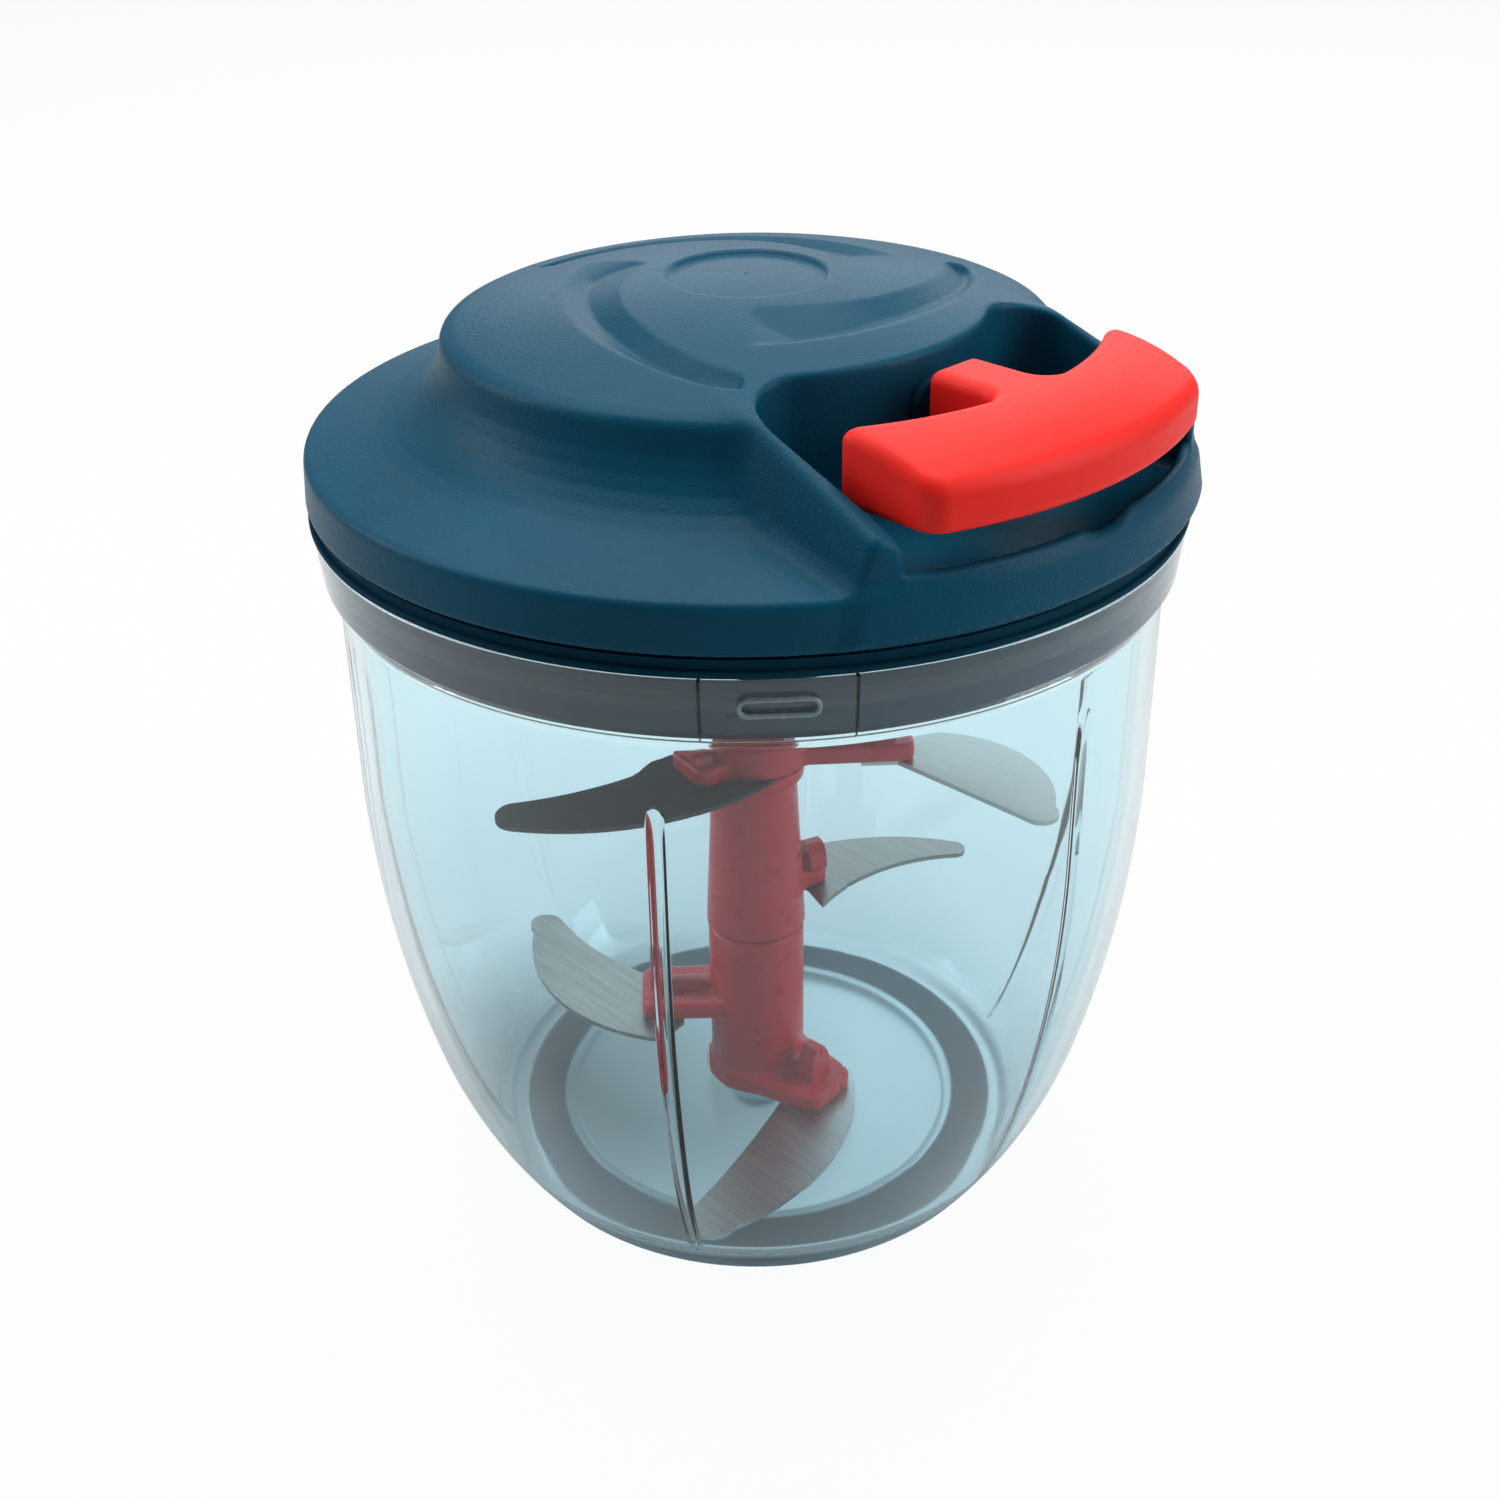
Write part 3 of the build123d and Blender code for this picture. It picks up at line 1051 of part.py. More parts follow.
def make_cord_spool():
    """Ratchet ring below, drum for the cord above with the spring's room inside it."""
    ring_bottom = CLUTCH_DISC_TOP + BODY_GAP
    body = turned_points(
        (0, ring_bottom),
        (SPOOL_SKIRT_RADIUS, ring_bottom),
        (SPOOL_SKIRT_RADIUS, SPOOL_FLANGE_BOTTOM),
        (FLANGE_RADIUS, SPOOL_FLANGE_BOTTOM),
        (FLANGE_RADIUS, GROOVE_BOTTOM),
        (DRUM_RADIUS, GROOVE_BOTTOM),
        (DRUM_RADIUS, GROOVE_TOP),
        (FLANGE_RADIUS, GROOVE_TOP),
        (FLANGE_RADIUS, SPOOL_TOP),
        (0, SPOOL_TOP),
    )
    clutch_room = slab(ratchet_opening(), CLUTCH_DISC_TOP, SPOOL_WEB_BOTTOM)
    middle_room = tube(
        RATCHET_ROOT_RADIUS,
        SPOOL_SLEEVE_RADIUS,
        SPOOL_WEB_BOTTOM + SPOOL_WEB_THICKNESS,
        SPOOL_SLEEVE_TOP - DRUM_FLOOR - DRUM_FLOOR / 4,
    )
    spring_room = disc(DRUM_BORE_RADIUS, SPOOL_SLEEVE_TOP, SPOOL_TOP + MARGIN)
    bore = disc(AXLE_RADIUS + RUNNING_FIT, CLUTCH_DISC_TOP, SPOOL_TOP + MARGIN)
    hook_slot = place(SPRING_HOOK_AZIMUTH, SPOOL_SLEEVE_TOP + SPRING_SIDE_GAP) * Pos(
        DRUM_BORE_RADIUS - MARGIN, 0
    ) * Box(SPOOL_WALL / 2 + MARGIN, SPRING_SLOT_WIDTH, SPRING_HEIGHT, align=FROM_AXIS)
    return body - clutch_room - middle_room - spring_room - bore - hook_slot


def make_cord_winding():
    """The cord that is wound on the drum, as the closed outer shape of its turns."""
    return turned_points(
        (DRUM_RADIUS, GROOVE_BOTTOM),
        (WINDING_RADIUS - CORD_RADIUS, GROOVE_BOTTOM),
        (WINDING_RADIUS, GROOVE_BOTTOM + CORD_RADIUS),
        (WINDING_RADIUS, GROOVE_TOP - CORD_RADIUS),
        (WINDING_RADIUS - CORD_RADIUS, GROOVE_TOP),
        (DRUM_RADIUS, GROOVE_TOP),
    )


def make_recoil_spring():
    """Flat spiral spring of half turns, from the arbor's slot out to the drum's wall."""
    inner = ARBOR_RADIUS + SPRING_SIDE_GAP
    outer = DRUM_BORE_RADIUS - SPRING_SIDE_GAP
    pitch = (outer - inner) / SPRING_TURNS
    outside = []
    inside = []
    for half in range(2 * SPRING_TURNS):
        radius = inner + pitch * (half + 0.5) / 2
        shift = pitch / 4 if half % 2 else -pitch / 4
        start = 180 if half % 2 else 0
        outside.append(CenterArc((shift, 0), radius, start, 180))
        inside.append(CenterArc((shift, 0), radius - SPRING_STRIP, start, 180))
    ends = [Line(inside[0] @ 0, outside[0] @ 0), Line(outside[-1] @ 1, inside[-1] @ 1)]
    strip = make_face(Curve() + outside + inside + ends)
    bottom = SPOOL_SLEEVE_TOP + SPRING_SIDE_GAP
    return slab(strip, bottom, bottom + SPRING_HEIGHT)


def make_spool_cap():
    """Thin cap that keeps the spring in the drum."""
    return tube(DRUM_RADIUS + CAP_LAP, ARBOR_RADIUS + 2 * SPRING_SIDE_GAP, SPOOL_TOP, CAP_TOP)


def make_spring_arbor():
    """Fixed post that the spring winds round, slotted for the spring's inner end."""
    bottom = SPOOL_SLEEVE_TOP + BODY_GAP
    post = disc(ARBOR_RADIUS, bottom, ARBOR_TOP)
    bore = disc(AXLE_RADIUS, bottom - MARGIN, ARBOR_TOP + MARGIN)
    slot_start = (AXLE_RADIUS + ARBOR_RADIUS) / 2
    slot = Pos(slot_start, 0, bottom) * Box(
        ARBOR_RADIUS, SPRING_SLOT_WIDTH, SPOOL_TOP - bottom, align=FROM_AXIS
    )
    return post - bore - slot


def make_spool_axle():
    """Steel pin from the cover through arbor, spool and clutch disc."""
    pin = disc(AXLE_RADIUS, AXLE_BOTTOM, AXLE_TOP)
    return chamfer(pin.edges().group_by(Axis.Z)[0], AXLE_POINT)


# ---- cord outside the spool, and the handle ------------------------------------------------------
def make_cord_guide():
    """Smooth eyelet in the back wall of the pocket."""
    start = POCKET_BACK_RADIUS - COVER_WALL - EYELET_TAIL
    barrel = rod(EYELET_RADIUS, start, CORD_START - start, CORD_HEIGHT)
    flange = rod(EYELET_FLANGE_RADIUS, POCKET_BACK_RADIUS, EYELET_FLANGE, CORD_HEIGHT)
    flange = fillet(flange.edges().filter_by(GeomType.CIRCLE).sort_by(Axis.Y)[0], EYELET_FLANGE / 2)
    bore = rod(CORD_BORE_RADIUS, start - MARGIN, CORD_START - start + 2 * MARGIN, CORD_HEIGHT)
    return barrel + flange - bore


def make_cord_lead():
    """The stretch of cord from the winding to the eyelet, clear of both."""
    corner_distance = POCKET_BACK_RADIUS - COVER_WALL - EYELET_TAIL - CORD_RADIUS
    circle = WINDING_RADIUS + BODY_GAP + CORD_RADIUS
    azimuth = degrees(acos(circle / corner_distance))
    start = at(circle, azimuth, CORD_HEIGHT)
    corner = (0, -corner_distance, CORD_HEIGHT)
    end = (0, -CORD_START, CORD_HEIGHT)
    path = FilletPolyline(start, corner, end, radius=CORD_BEND)
    section = Plane(origin=path @ 0, z_dir=path % 0) * Circle(CORD_RADIUS)
    return sweep(section, path=path)


def make_pull_cord():
    """The stretch of cord between the eyelet and the knot in the handle."""
    return rod(CORD_RADIUS, CORD_START, KNOT_DISTANCE + CORD_IN_KNOT - CORD_START, CORD_HEIGHT)


def make_cord_knot():
    knot = Pos(0, -KNOT_DISTANCE - KNOT_RADIUS, CORD_HEIGHT) * Sphere(KNOT_RADIUS)
    return knot - rod(CORD_RADIUS, KNOT_DISTANCE - MARGIN, MARGIN + CORD_IN_KNOT, CORD_HEIGHT)


def handle_plan():
    """The handle seen from above: a grip curved with the rim, and a stem towards the lid."""
    reach = GRIP_OUTER_RADIUS + MARGIN
    grip = Circle(GRIP_OUTER_RADIUS) - Circle(GRIP_INNER_RADIUS)
    grip &= Pos(0, -reach / 2) * Rectangle(2 * GRIP_HALF_WIDTH, reach)
    stem_length = GRIP_INNER_RADIUS + MARGIN - STEM_END
    stem = Pos(0, -STEM_END - stem_length / 2) * Rectangle(STEM_WIDTH, stem_length)
    plan = grip + stem
    half = STEM_WIDTH / 2
    inner = [v for v in plan.vertices() if abs(abs(v.X) - half) < 0.01 and -v.Y > STEM_END + 1]
    plan = fillet(inner, STEM_FILLET)
    ends = [v for v in plan.vertices() if abs(abs(v.X) - GRIP_HALF_WIDTH) < 0.01]
    plan = fillet(ends, GRIP_CORNER)
    stem_end = [v for v in plan.vertices() if abs(v.Y + STEM_END) < 0.01]
    return fillet(stem_end, STEM_CORNER)


def make_pull_handle():
    """T handle with a crowned top, bored for the cord and hollowed from below for its knot."""
    block = slab(handle_plan(), GRIP_BOTTOM, GRIP_CROWN_HEIGHT + MARGIN)
    inner = (GRIP_INNER_RADIUS - MARGIN, GRIP_CROWN_HEIGHT)
    middle = ((GRIP_INNER_RADIUS + GRIP_OUTER_RADIUS) / 2, GRIP_CROWN_HEIGHT - GRIP_MIDDLE_FALL)
    outer = (GRIP_OUTER_RADIUS, GRIP_CROWN_HEIGHT - GRIP_OUTER_FALL)
    crown = turned(
        Line((0, GRIP_CROWN_HEIGHT), inner),
        ThreePointArc(inner, middle, outer),
        Polyline(
            outer,
            (GRIP_OUTER_RADIUS, GRIP_BOTTOM - MARGIN),
            (0, GRIP_BOTTOM - MARGIN),
            (0, GRIP_CROWN_HEIGHT),
        ),
    )
    bore_length = KNOT_DISTANCE + KNOT_RADIUS - STEM_END + MARGIN
    bore = rod(CORD_BORE_RADIUS, STEM_END - MARGIN, bore_length, CORD_HEIGHT)
    room_radius = KNOT_RADIUS + KNOT_ROOM_GAP
    room_height = CORD_HEIGHT + room_radius - GRIP_BOTTOM + MARGIN
    knot_room = Pos(0, -KNOT_DISTANCE - room_radius, GRIP_BOTTOM - MARGIN) * Cylinder(
        room_radius, room_height, align=BOTTOM
    )
    return (block & crown) - bore - knot_room


# ---- write every node ----------------------------------------------------------------------------
NODES = {
    "bowl": make_bowl,
    "base_ring": make_base_ring,
    "pivot_pin": make_pivot_pin,
    "blade_shaft_lower": make_blade_shaft_lower,
    "shaft_bush": make_shaft_bush,
    "blade_shaft_upper": make_blade_shaft_upper,
    "blade_clips": make_blade_clips,
    "top_left_blade": lambda: make_blade("top_left"),
    "top_right_blade": lambda: make_blade("top_right"),
    "middle_blade": lambda: make_blade("middle"),
    "side_blade": lambda: make_blade("side"),
    "bottom_blade": lambda: make_blade("bottom"),
    "lid_cover": make_lid_cover,
    "lid_base": make_lid_base,
    "lid_seal": make_lid_seal,
    "housing_screws": make_housing_screws,
    "hub_bush": make_hub_bush,
    "drive_hub": make_drive_hub,
    "clutch_pawls": make_clutch_pawls,
    "cord_spool": make_cord_spool,
    "cord_winding": make_cord_winding,
    "recoil_spring": make_recoil_spring,
    "spool_cap": make_spool_cap,
    "spring_arbor": make_spring_arbor,
    "spool_axle": make_spool_axle,
    "cord_guide": make_cord_guide,
    "cord_lead": make_cord_lead,
    "pull_cord": make_pull_cord,
    "cord_knot": make_cord_knot,
    "pull_handle": make_pull_handle,
}


def main():
    os.makedirs("parts", exist_ok=True)
    for name, make in NODES.items():
        export_step(make(), os.path.join("parts", name + ".step"))


main()
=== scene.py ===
from math import atan2, cos, degrees, radians, sin, sqrt

import bpy
import numpy as np
from mathutils import Matrix, Vector


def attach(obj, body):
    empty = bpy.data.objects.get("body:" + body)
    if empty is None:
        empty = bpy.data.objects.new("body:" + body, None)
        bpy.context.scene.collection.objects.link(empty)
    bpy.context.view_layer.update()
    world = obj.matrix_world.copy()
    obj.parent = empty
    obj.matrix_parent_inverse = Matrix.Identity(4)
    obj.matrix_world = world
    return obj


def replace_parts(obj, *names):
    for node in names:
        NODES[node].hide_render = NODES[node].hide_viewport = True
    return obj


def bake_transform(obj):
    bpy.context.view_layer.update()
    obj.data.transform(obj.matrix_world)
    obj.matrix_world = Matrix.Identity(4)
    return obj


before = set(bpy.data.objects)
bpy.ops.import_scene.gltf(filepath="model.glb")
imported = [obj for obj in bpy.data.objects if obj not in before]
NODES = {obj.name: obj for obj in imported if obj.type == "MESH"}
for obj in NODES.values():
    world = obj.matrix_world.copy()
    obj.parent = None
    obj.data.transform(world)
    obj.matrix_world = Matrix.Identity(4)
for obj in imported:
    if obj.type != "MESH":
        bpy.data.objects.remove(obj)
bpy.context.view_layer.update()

# A pull-cord food chopper. The steel, the seals and the works inside the lid keep their packed
# solids and get finished materials. The lid cover, the handle and the blade shaft are shaped here
# as distance fields, in the frame's own millimetres, and meshed. The bowl is turned from its
# section, and the pull cord is a tube between the lid and the handle.

MM = 0.001
PHOTO_AZIMUTH = -44.5


# ---- distance fields, in millimetres -------------------------------------------------------------
def fmax(a, b, radius):
    """Intersection of two fields with a rounded edge."""
    if radius <= 0:
        return np.maximum(a, b)
    u = np.maximum(radius + a, 0.0)
    v = np.maximum(radius + b, 0.0)
    return np.minimum(-radius, np.maximum(a, b)) + np.sqrt(u * u + v * v)


def fmin(a, b, radius):
    """Union of two fields with a filleted valley."""
    return -fmax(-a, -b, radius)


def fcut(a, b, radius):
    """Field a with b taken away, its edge rounded."""
    return fmax(a, -b, radius)


def smoothstep(low, high, value):
    t = np.clip((value - low) / (high - low), 0.0, 1.0)
    return t * t * (3.0 - 2.0 * t)


def polygon_field(points, x, y):
    """Exact signed distance to a closed polygon."""
    best = np.full(x.shape, 1e9)
    inside = np.zeros(x.shape, dtype=bool)
    for (ax, ay), (bx, by) in zip(points, points[1:] + points[:1]):
        ex, ey = bx - ax, by - ay
        length = ex * ex + ey * ey
        if length < 1e-12:
            continue
        t = np.clip(((x - ax) * ex + (y - ay) * ey) / length, 0.0, 1.0)
        best = np.minimum(best, np.hypot(x - ax - t * ex, y - ay - t * ey))
        if ay != by:
            crosses = ((ay > y) != (by > y)) & (x < (bx - ax) * (y - ay) / (by - ay) + ax)
            inside ^= crosses
    return np.where(inside, -best, best)


def arc_points(centre, radius, start, end, count):
    angles = np.radians(np.linspace(start, end, count))
    return [(centre[0] + radius * cos(a), centre[1] + radius * sin(a)) for a in angles]


def soften(table, passes):
    """Rounds the edges of a tabled field a little, by averaging it with its neighbours."""
    for _ in range(passes):
        for axis in (0, 1):
            wide = np.concatenate(
                [table.take([0], axis), table, table.take([-1], axis)], axis=axis
            )
            count = table.shape[axis]
            before = wide.take(range(0, count), axis)
            after = wide.take(range(2, count + 2), axis)
            table = 0.5 * table + 0.25 * (before + after)
    return table


class Table:
    """A flat field looked up from a fine grid: a half section (r, z) or a plan (x, y)."""

    def __init__(self, make, low, high, step, passes=0):
        self.low = low
        self.step = step
        axes = [l + step * np.arange(int((h - l) / step) + 2) for l, h in zip(low, high)]
        u, v = np.meshgrid(*axes, indexing="ij")
        self.table = soften(make(u, v), passes)

    def __call__(self, u, v):
        rows, columns = self.table.shape
        a = np.clip((u - self.low[0]) / self.step, 0, rows - 1.001)
        b = np.clip((v - self.low[1]) / self.step, 0, columns - 1.001)
        i, j = a.astype(int), b.astype(int)
        a, b = a - i, b - j
        t = self.table
        return (
            t[i, j] * (1 - a) * (1 - b)
            + t[i + 1, j] * a * (1 - b)
            + t[i, j + 1] * (1 - a) * b
            + t[i + 1, j + 1] * a * b
        )


def section_table(points, r_high, z_low, z_high, passes=0):
    """The field of a half section turned about Z, its corners rounded by averaging."""
    return Table(
        lambda r, z: polygon_field(points, r, z), (0, z_low), (r_high, z_high), 0.08, passes
    )


def mesh_field(field, low, high, cell):
    """Surface nets: one vertex in each cell that the surface crosses, then drawn onto it."""
    counts = [int(np.ceil((h - l) / cell)) + 1 for l, h in zip(low, high)]
    axes = [l + cell * np.arange(n) for l, n in zip(low, counts)]
    value = np.empty(counts, dtype=np.float32)
    for k in range(0, counts[0], 24):
        x, y, z = np.meshgrid(axes[0][k:k + 24], axes[1], axes[2], indexing="ij")
        value[k:k + 24] = field(x, y, z)
    sign = value < 0
    corners = [
        sign[dx:counts[0] - 1 + dx, dy:counts[1] - 1 + dy, dz:counts[2] - 1 + dz]
        for dx in (0, 1) for dy in (0, 1) for dz in (0, 1)
    ]
    total = sum(c.astype(np.int8) for c in corners)
    cells = np.argwhere((total > 0) & (total < 8))
    number = -np.ones([n - 1 for n in counts], dtype=np.int64)
    number[tuple(cells.T)] = np.arange(len(cells))
    points = np.zeros((len(cells), 3))
    weight = np.zeros(len(cells))
    for axis in range(3):
        others = [a for a in range(3) if a != axis]
        for shift in ((0, 0), (0, 1), (1, 0), (1, 1)):
            start = cells.copy()
            start[:, others[0]] += shift[0]
            start[:, others[1]] += shift[1]
            end = start.copy()
            end[:, axis] += 1
            va = value[tuple(start.T)]
            vb = value[tuple(end.T)]
            crossing = (va < 0) != (vb < 0)
            t = np.where(crossing, va / np.where(crossing, va - vb, 1.0), 0.0)
            spot = start.astype(float)
            spot[:, axis] += t
            points[crossing] += spot[crossing]
            weight += crossing
    points = np.array(low) + cell * points / weight[:, None]
    faces = []
    for axis in range(3):
        others = [(axis + 1) % 3, (axis + 2) % 3]
        first = [slice(None)] * 3
        second = [slice(None)] * 3
        first[axis] = slice(0, -1)
        second[axis] = slice(1, None)
        a, b = sign[tuple(first)], sign[tuple(second)]
        for flip in (False, True):
            edge = np.argwhere((a & ~b) if not flip else (~a & b))
            ok = np.all([(edge[:, o] > 0) & (edge[:, o] < counts[o] - 1) for o in others], axis=0)
            edge = edge[ok]
            quad = []
            for du, dv in ((-1, -1), (0, -1), (0, 0), (-1, 0)):
                place = edge.copy()
                place[:, others[0]] += du
                place[:, others[1]] += dv
                quad.append(number[tuple(place.T)])
            quad = np.stack(quad, axis=1)
            faces.append(quad[:, ::-1] if flip else quad)
    faces = np.concatenate(faces)
    step = 0.02 * cell
    for _ in range(2):
        here = field(*points.T)
        slope = np.stack(
            [
                field(*(points + step * np.eye(3)[k]).T) - field(*(points - step * np.eye(3)[k]).T)
                for k in range(3)
            ],
            axis=1,
        ) / (2 * step)
        size = np.maximum((slope**2).sum(1), 0.25)
        move = -here[:, None] * slope / size[:, None]
        length = np.sqrt((move**2).sum(1, keepdims=True))
        points += move * np.minimum(1.0, 0.5 * cell / np.maximum(length, 1e-9))
    return points, faces


def ring_faces(rings, size, closed=True):
    """Faces between rings of points that follow each other, closed onto the first ring or open."""
    faces = []
    for a in range(rings if closed else rings - 1):
        b = (a + 1) % rings
        for k in range(size):
            n = (k + 1) % size
            faces.append((a * size + k, b * size + k, b * size + n, a * size + n))
    return faces


def new_piece(name, points, faces, body, material):
    """A mesh object in metres. It rides on a body, unless body is None."""
    mesh = bpy.data.meshes.new(name)
    faces = [[int(i) for i in face] for face in faces]
    mesh.from_pydata((np.asarray(points) * MM).tolist(), [], faces)
    mesh.validate()
    mesh.update()
    mesh.shade_smooth()
    piece = bpy.data.objects.new(name, mesh)
    bpy.context.scene.collection.objects.link(piece)
    mesh.materials.append(material)
    if body:
        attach(piece, body)
    return piece


def shape(name, field, low, high, cells, body, material, node):
    """A field's mesh that stands for a CAD node. cells: its full cell and its quick one; the quick
    one is not used.
    """
    cell, quick_cell = cells
    points, faces = mesh_field(field, low, high, cell)
    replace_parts(new_piece(name, points, faces, body, material), node)


# ---- materials -----------------------------------------------------------------------------------
class Nodes:
    """A small builder for one material's node tree."""

    def __init__(self, name):
        self.material = bpy.data.materials.new(name)
        self.material.use_nodes = True
        self.tree = self.material.node_tree
        self.tree.nodes.clear()
        self.out = self.add("ShaderNodeOutputMaterial")
        self.shader = self.add("ShaderNodeBsdfPrincipled")
        self.link(self.shader, "BSDF", self.out, "Surface")
        self.coords = self.add("ShaderNodeTexCoord")

    def add(self, kind, **settings):
        node = self.tree.nodes.new(kind)
        for key, value in settings.items():
            setattr(node, key, value)
        return node

    def link(self, source, output, target, socket):
        self.tree.links.new(source.outputs[output], target.inputs[socket])

    def set(self, **values):
        for key, value in values.items():
            self.shader.inputs[key.replace("_", " ")].default_value = value

    def noise(self, scale, detail=2.0, roughness=0.5, stretch=None, turn=0.0):
        noise = self.add("ShaderNodeTexNoise")
        noise.inputs["Scale"].default_value = scale
        noise.inputs["Detail"].default_value = detail
        noise.inputs["Roughness"].default_value = roughness
        if stretch is None:
            self.link(self.coords, "Object", noise, "Vector")
        else:
            mapping = self.add("ShaderNodeMapping")
            mapping.inputs["Scale"].default_value = stretch
            mapping.inputs["Rotation"].default_value = (0, 0, turn)
            self.link(self.coords, "Object", mapping, "Vector")
            self.link(mapping, "Vector", noise, "Vector")
        return noise

    def colours(self, source, stops, output="Fac"):
        ramp = self.add("ShaderNodeValToRGB")
        elements = ramp.color_ramp.elements
        while len(elements) < len(stops):
            elements.new(0.5)
        for element, (position, colour) in zip(elements, stops):
            element.position = position
            element.color = (*colour, 1.0)
        self.link(source, output, ramp, "Fac")
        self.link(ramp, "Color", self.shader, "Base Color")

    def roughness(self, source, low, high):
        spread = self.add("ShaderNodeMapRange")
        spread.inputs["From Min"].default_value = 0.3
        spread.inputs["From Max"].default_value = 0.7
        spread.inputs["To Min"].default_value = low
        spread.inputs["To Max"].default_value = high
        self.link(source, "Fac", spread, "Value")
        self.link(spread, "Result", self.shader, "Roughness")

    def bump(self, source, strength, distance):
        bump = self.add("ShaderNodeBump")
        bump.inputs["Strength"].default_value = strength
        bump.inputs["Distance"].default_value = distance
        self.link(source, "Fac", bump, "Height")
        self.link(bump, "Normal", self.shader, "Normal")


def srgb(r, g, b):
    """A colour as a picture shows it, turned into light."""
    return tuple(
        (c / 255 / 12.92) if c / 255 <= 0.04045 else ((c / 255 + 0.055) / 1.055) ** 2.4
        for c in (r, g, b)
    )


def moulded(name, dark, light, rough, grain, grain_depth, grain_strength=0.5, specular=0.5):
    """A moulded plastic: faint clouding in the colour, spark-eroded grain on the surface."""
    m = Nodes(name)
    cloud = m.noise(38, 3.0, 0.6)
    m.colours(cloud, [(0.3, dark), (0.7, light)])
    fine = m.noise(grain, 2.0, 0.6)
    m.roughness(fine, rough - 0.05, rough + 0.06)
    m.bump(fine, grain_strength, grain_depth)
    m.set(Specular_IOR_Level=specular)
    return m.material


def steel(name, turn, dark=(0.34, 0.34, 0.33), light=(0.46, 0.46, 0.45), rough=0.34, edge=1.0):
    """Brushed stainless steel, its lines across the blade."""
    m = Nodes(name)
    lines = m.noise(1.0, 2.0, 0.6, stretch=(2600, 60, 300), turn=turn)
    m.colours(lines, [(0.32, dark), (0.68, light)])
    m.roughness(lines, rough - 0.04, rough + 0.08)
    m.bump(lines, 0.15, 0.00001)
    m.set(Metallic=1.0, Specular_Tint=(edge, edge, edge, 1.0))
    return m.material


# The bowl's colour, darker towards the bottom over its whole height: the thick foot's deeper tint,
# and painted shade on the lower walls.
BOWL_TINT_AND_SHADE = [
    (0.0, (0.52, 0.72, 0.79)),
    (0.16, (0.68, 0.85, 0.90)),
    (0.55, (0.765, 0.91, 0.955)),
    (1.0, (0.81, 0.945, 0.98)),
]
TINT_AND_SHADE_TOP = 0.116
FROST_LOW = 0.0062
FROST_HIGH = 0.0095


def clear_plastic(name, lamp_tint):
    """Clear moulded plastic that lets the lamps reach what is inside.

    The tint deepens downward over the whole height: deeper in the thick foot, and painted
    shade on the lower walls. The floor has a fine frosted texture.
    """
    m = Nodes(name)
    place = m.add("ShaderNodeSeparateXYZ")
    m.link(m.coords, "Object", place, "Vector")
    height = m.add("ShaderNodeMapRange")
    height.inputs["From Min"].default_value = 0.0
    height.inputs["From Max"].default_value = TINT_AND_SHADE_TOP
    m.link(place, "Z", height, "Value")
    m.colours(height, BOWL_TINT_AND_SHADE, output="Result")
    frost = m.add("ShaderNodeMapRange", interpolation_type="SMOOTHSTEP")
    frost.inputs["From Min"].default_value = FROST_LOW
    frost.inputs["From Max"].default_value = FROST_HIGH
    frost.inputs["To Min"].default_value = 0.30
    frost.inputs["To Max"].default_value = 0.02
    m.link(place, "Z", frost, "Value")
    m.link(frost, "Result", m.shader, "Roughness")
    scuff = m.noise(14, 2.0, 0.5)
    m.bump(scuff, 0.12, 0.0004)
    m.set(Transmission_Weight=1.0, IOR=1.49)
    clear = m.add("ShaderNodeBsdfTransparent")
    clear.inputs["Color"].default_value = (*lamp_tint, 1.0)
    path = m.add("ShaderNodeLightPath")
    mix = m.add("ShaderNodeMixShader")
    m.link(path, "Is Shadow Ray", mix, 0)
    m.link(m.shader, "BSDF", mix, 1)
    m.link(clear, "BSDF", mix, 2)
    m.link(mix, "Shader", m.out, "Surface")
    return m.material


def braid(name, light, dark):
    """A braided cord: slanting bands of two tones."""
    m = Nodes(name)
    strands = m.add("ShaderNodeTexWave", wave_type="BANDS", bands_direction="DIAGONAL")
    strands.inputs["Scale"].default_value = 420
    m.link(m.coords, "Object", strands, "Vector")
    m.colours(strands, [(0.2, dark), (0.8, light)])
    m.bump(strands, 0.6, 0.0002)
    m.set(Roughness=0.75)
    return m.material


TEAL = moulded("teal_grain", srgb(8, 70, 93), srgb(12, 77, 102), 0.36, 2300, 0.00012, 0.6, 0.09)
CORAL = moulded("coral_satin", srgb(240, 36, 29), srgb(245, 42, 34), 0.46, 1500, 0.00003, 0.2, 0.18)
RED = moulded("red_gloss", srgb(176, 16, 32), srgb(186, 21, 38), 0.30, 240, 0.00001, 0.1, 0.3)
DARK = moulded("slate_gloss", srgb(14, 52, 70), srgb(18, 58, 76), 0.40, 300, 0.00001, 0.1, 0.01)
RING = moulded(
    "ring_rubber_matt", srgb(48, 88, 106), srgb(55, 96, 114), 0.62, 900, 0.00004, 0.3, 0.2
)
SEAL = moulded("seal_silicone", srgb(40, 58, 70), srgb(47, 66, 78), 0.5, 900, 0.00004, 0.3, 0.1)
ACETAL = moulded(
    "acetal_natural", srgb(222, 219, 208), srgb(232, 229, 220), 0.38, 900, 0.00002, 0.2
)
CORD = braid("cord_braid", srgb(206, 206, 200), srgb(140, 140, 134))
CLEAR = clear_plastic("bowl_clear", (0.88, 0.95, 0.965))
PIN_STEEL = steel("pin_steel", 0.0)
SPRING_STEEL = steel("spring_strip", 0.0, (0.10, 0.11, 0.13), (0.22, 0.23, 0.26), 0.35)
SCREW_STEEL = steel("screw_steel", 0.4, (0.34, 0.34, 0.35), (0.50, 0.50, 0.51), 0.4)

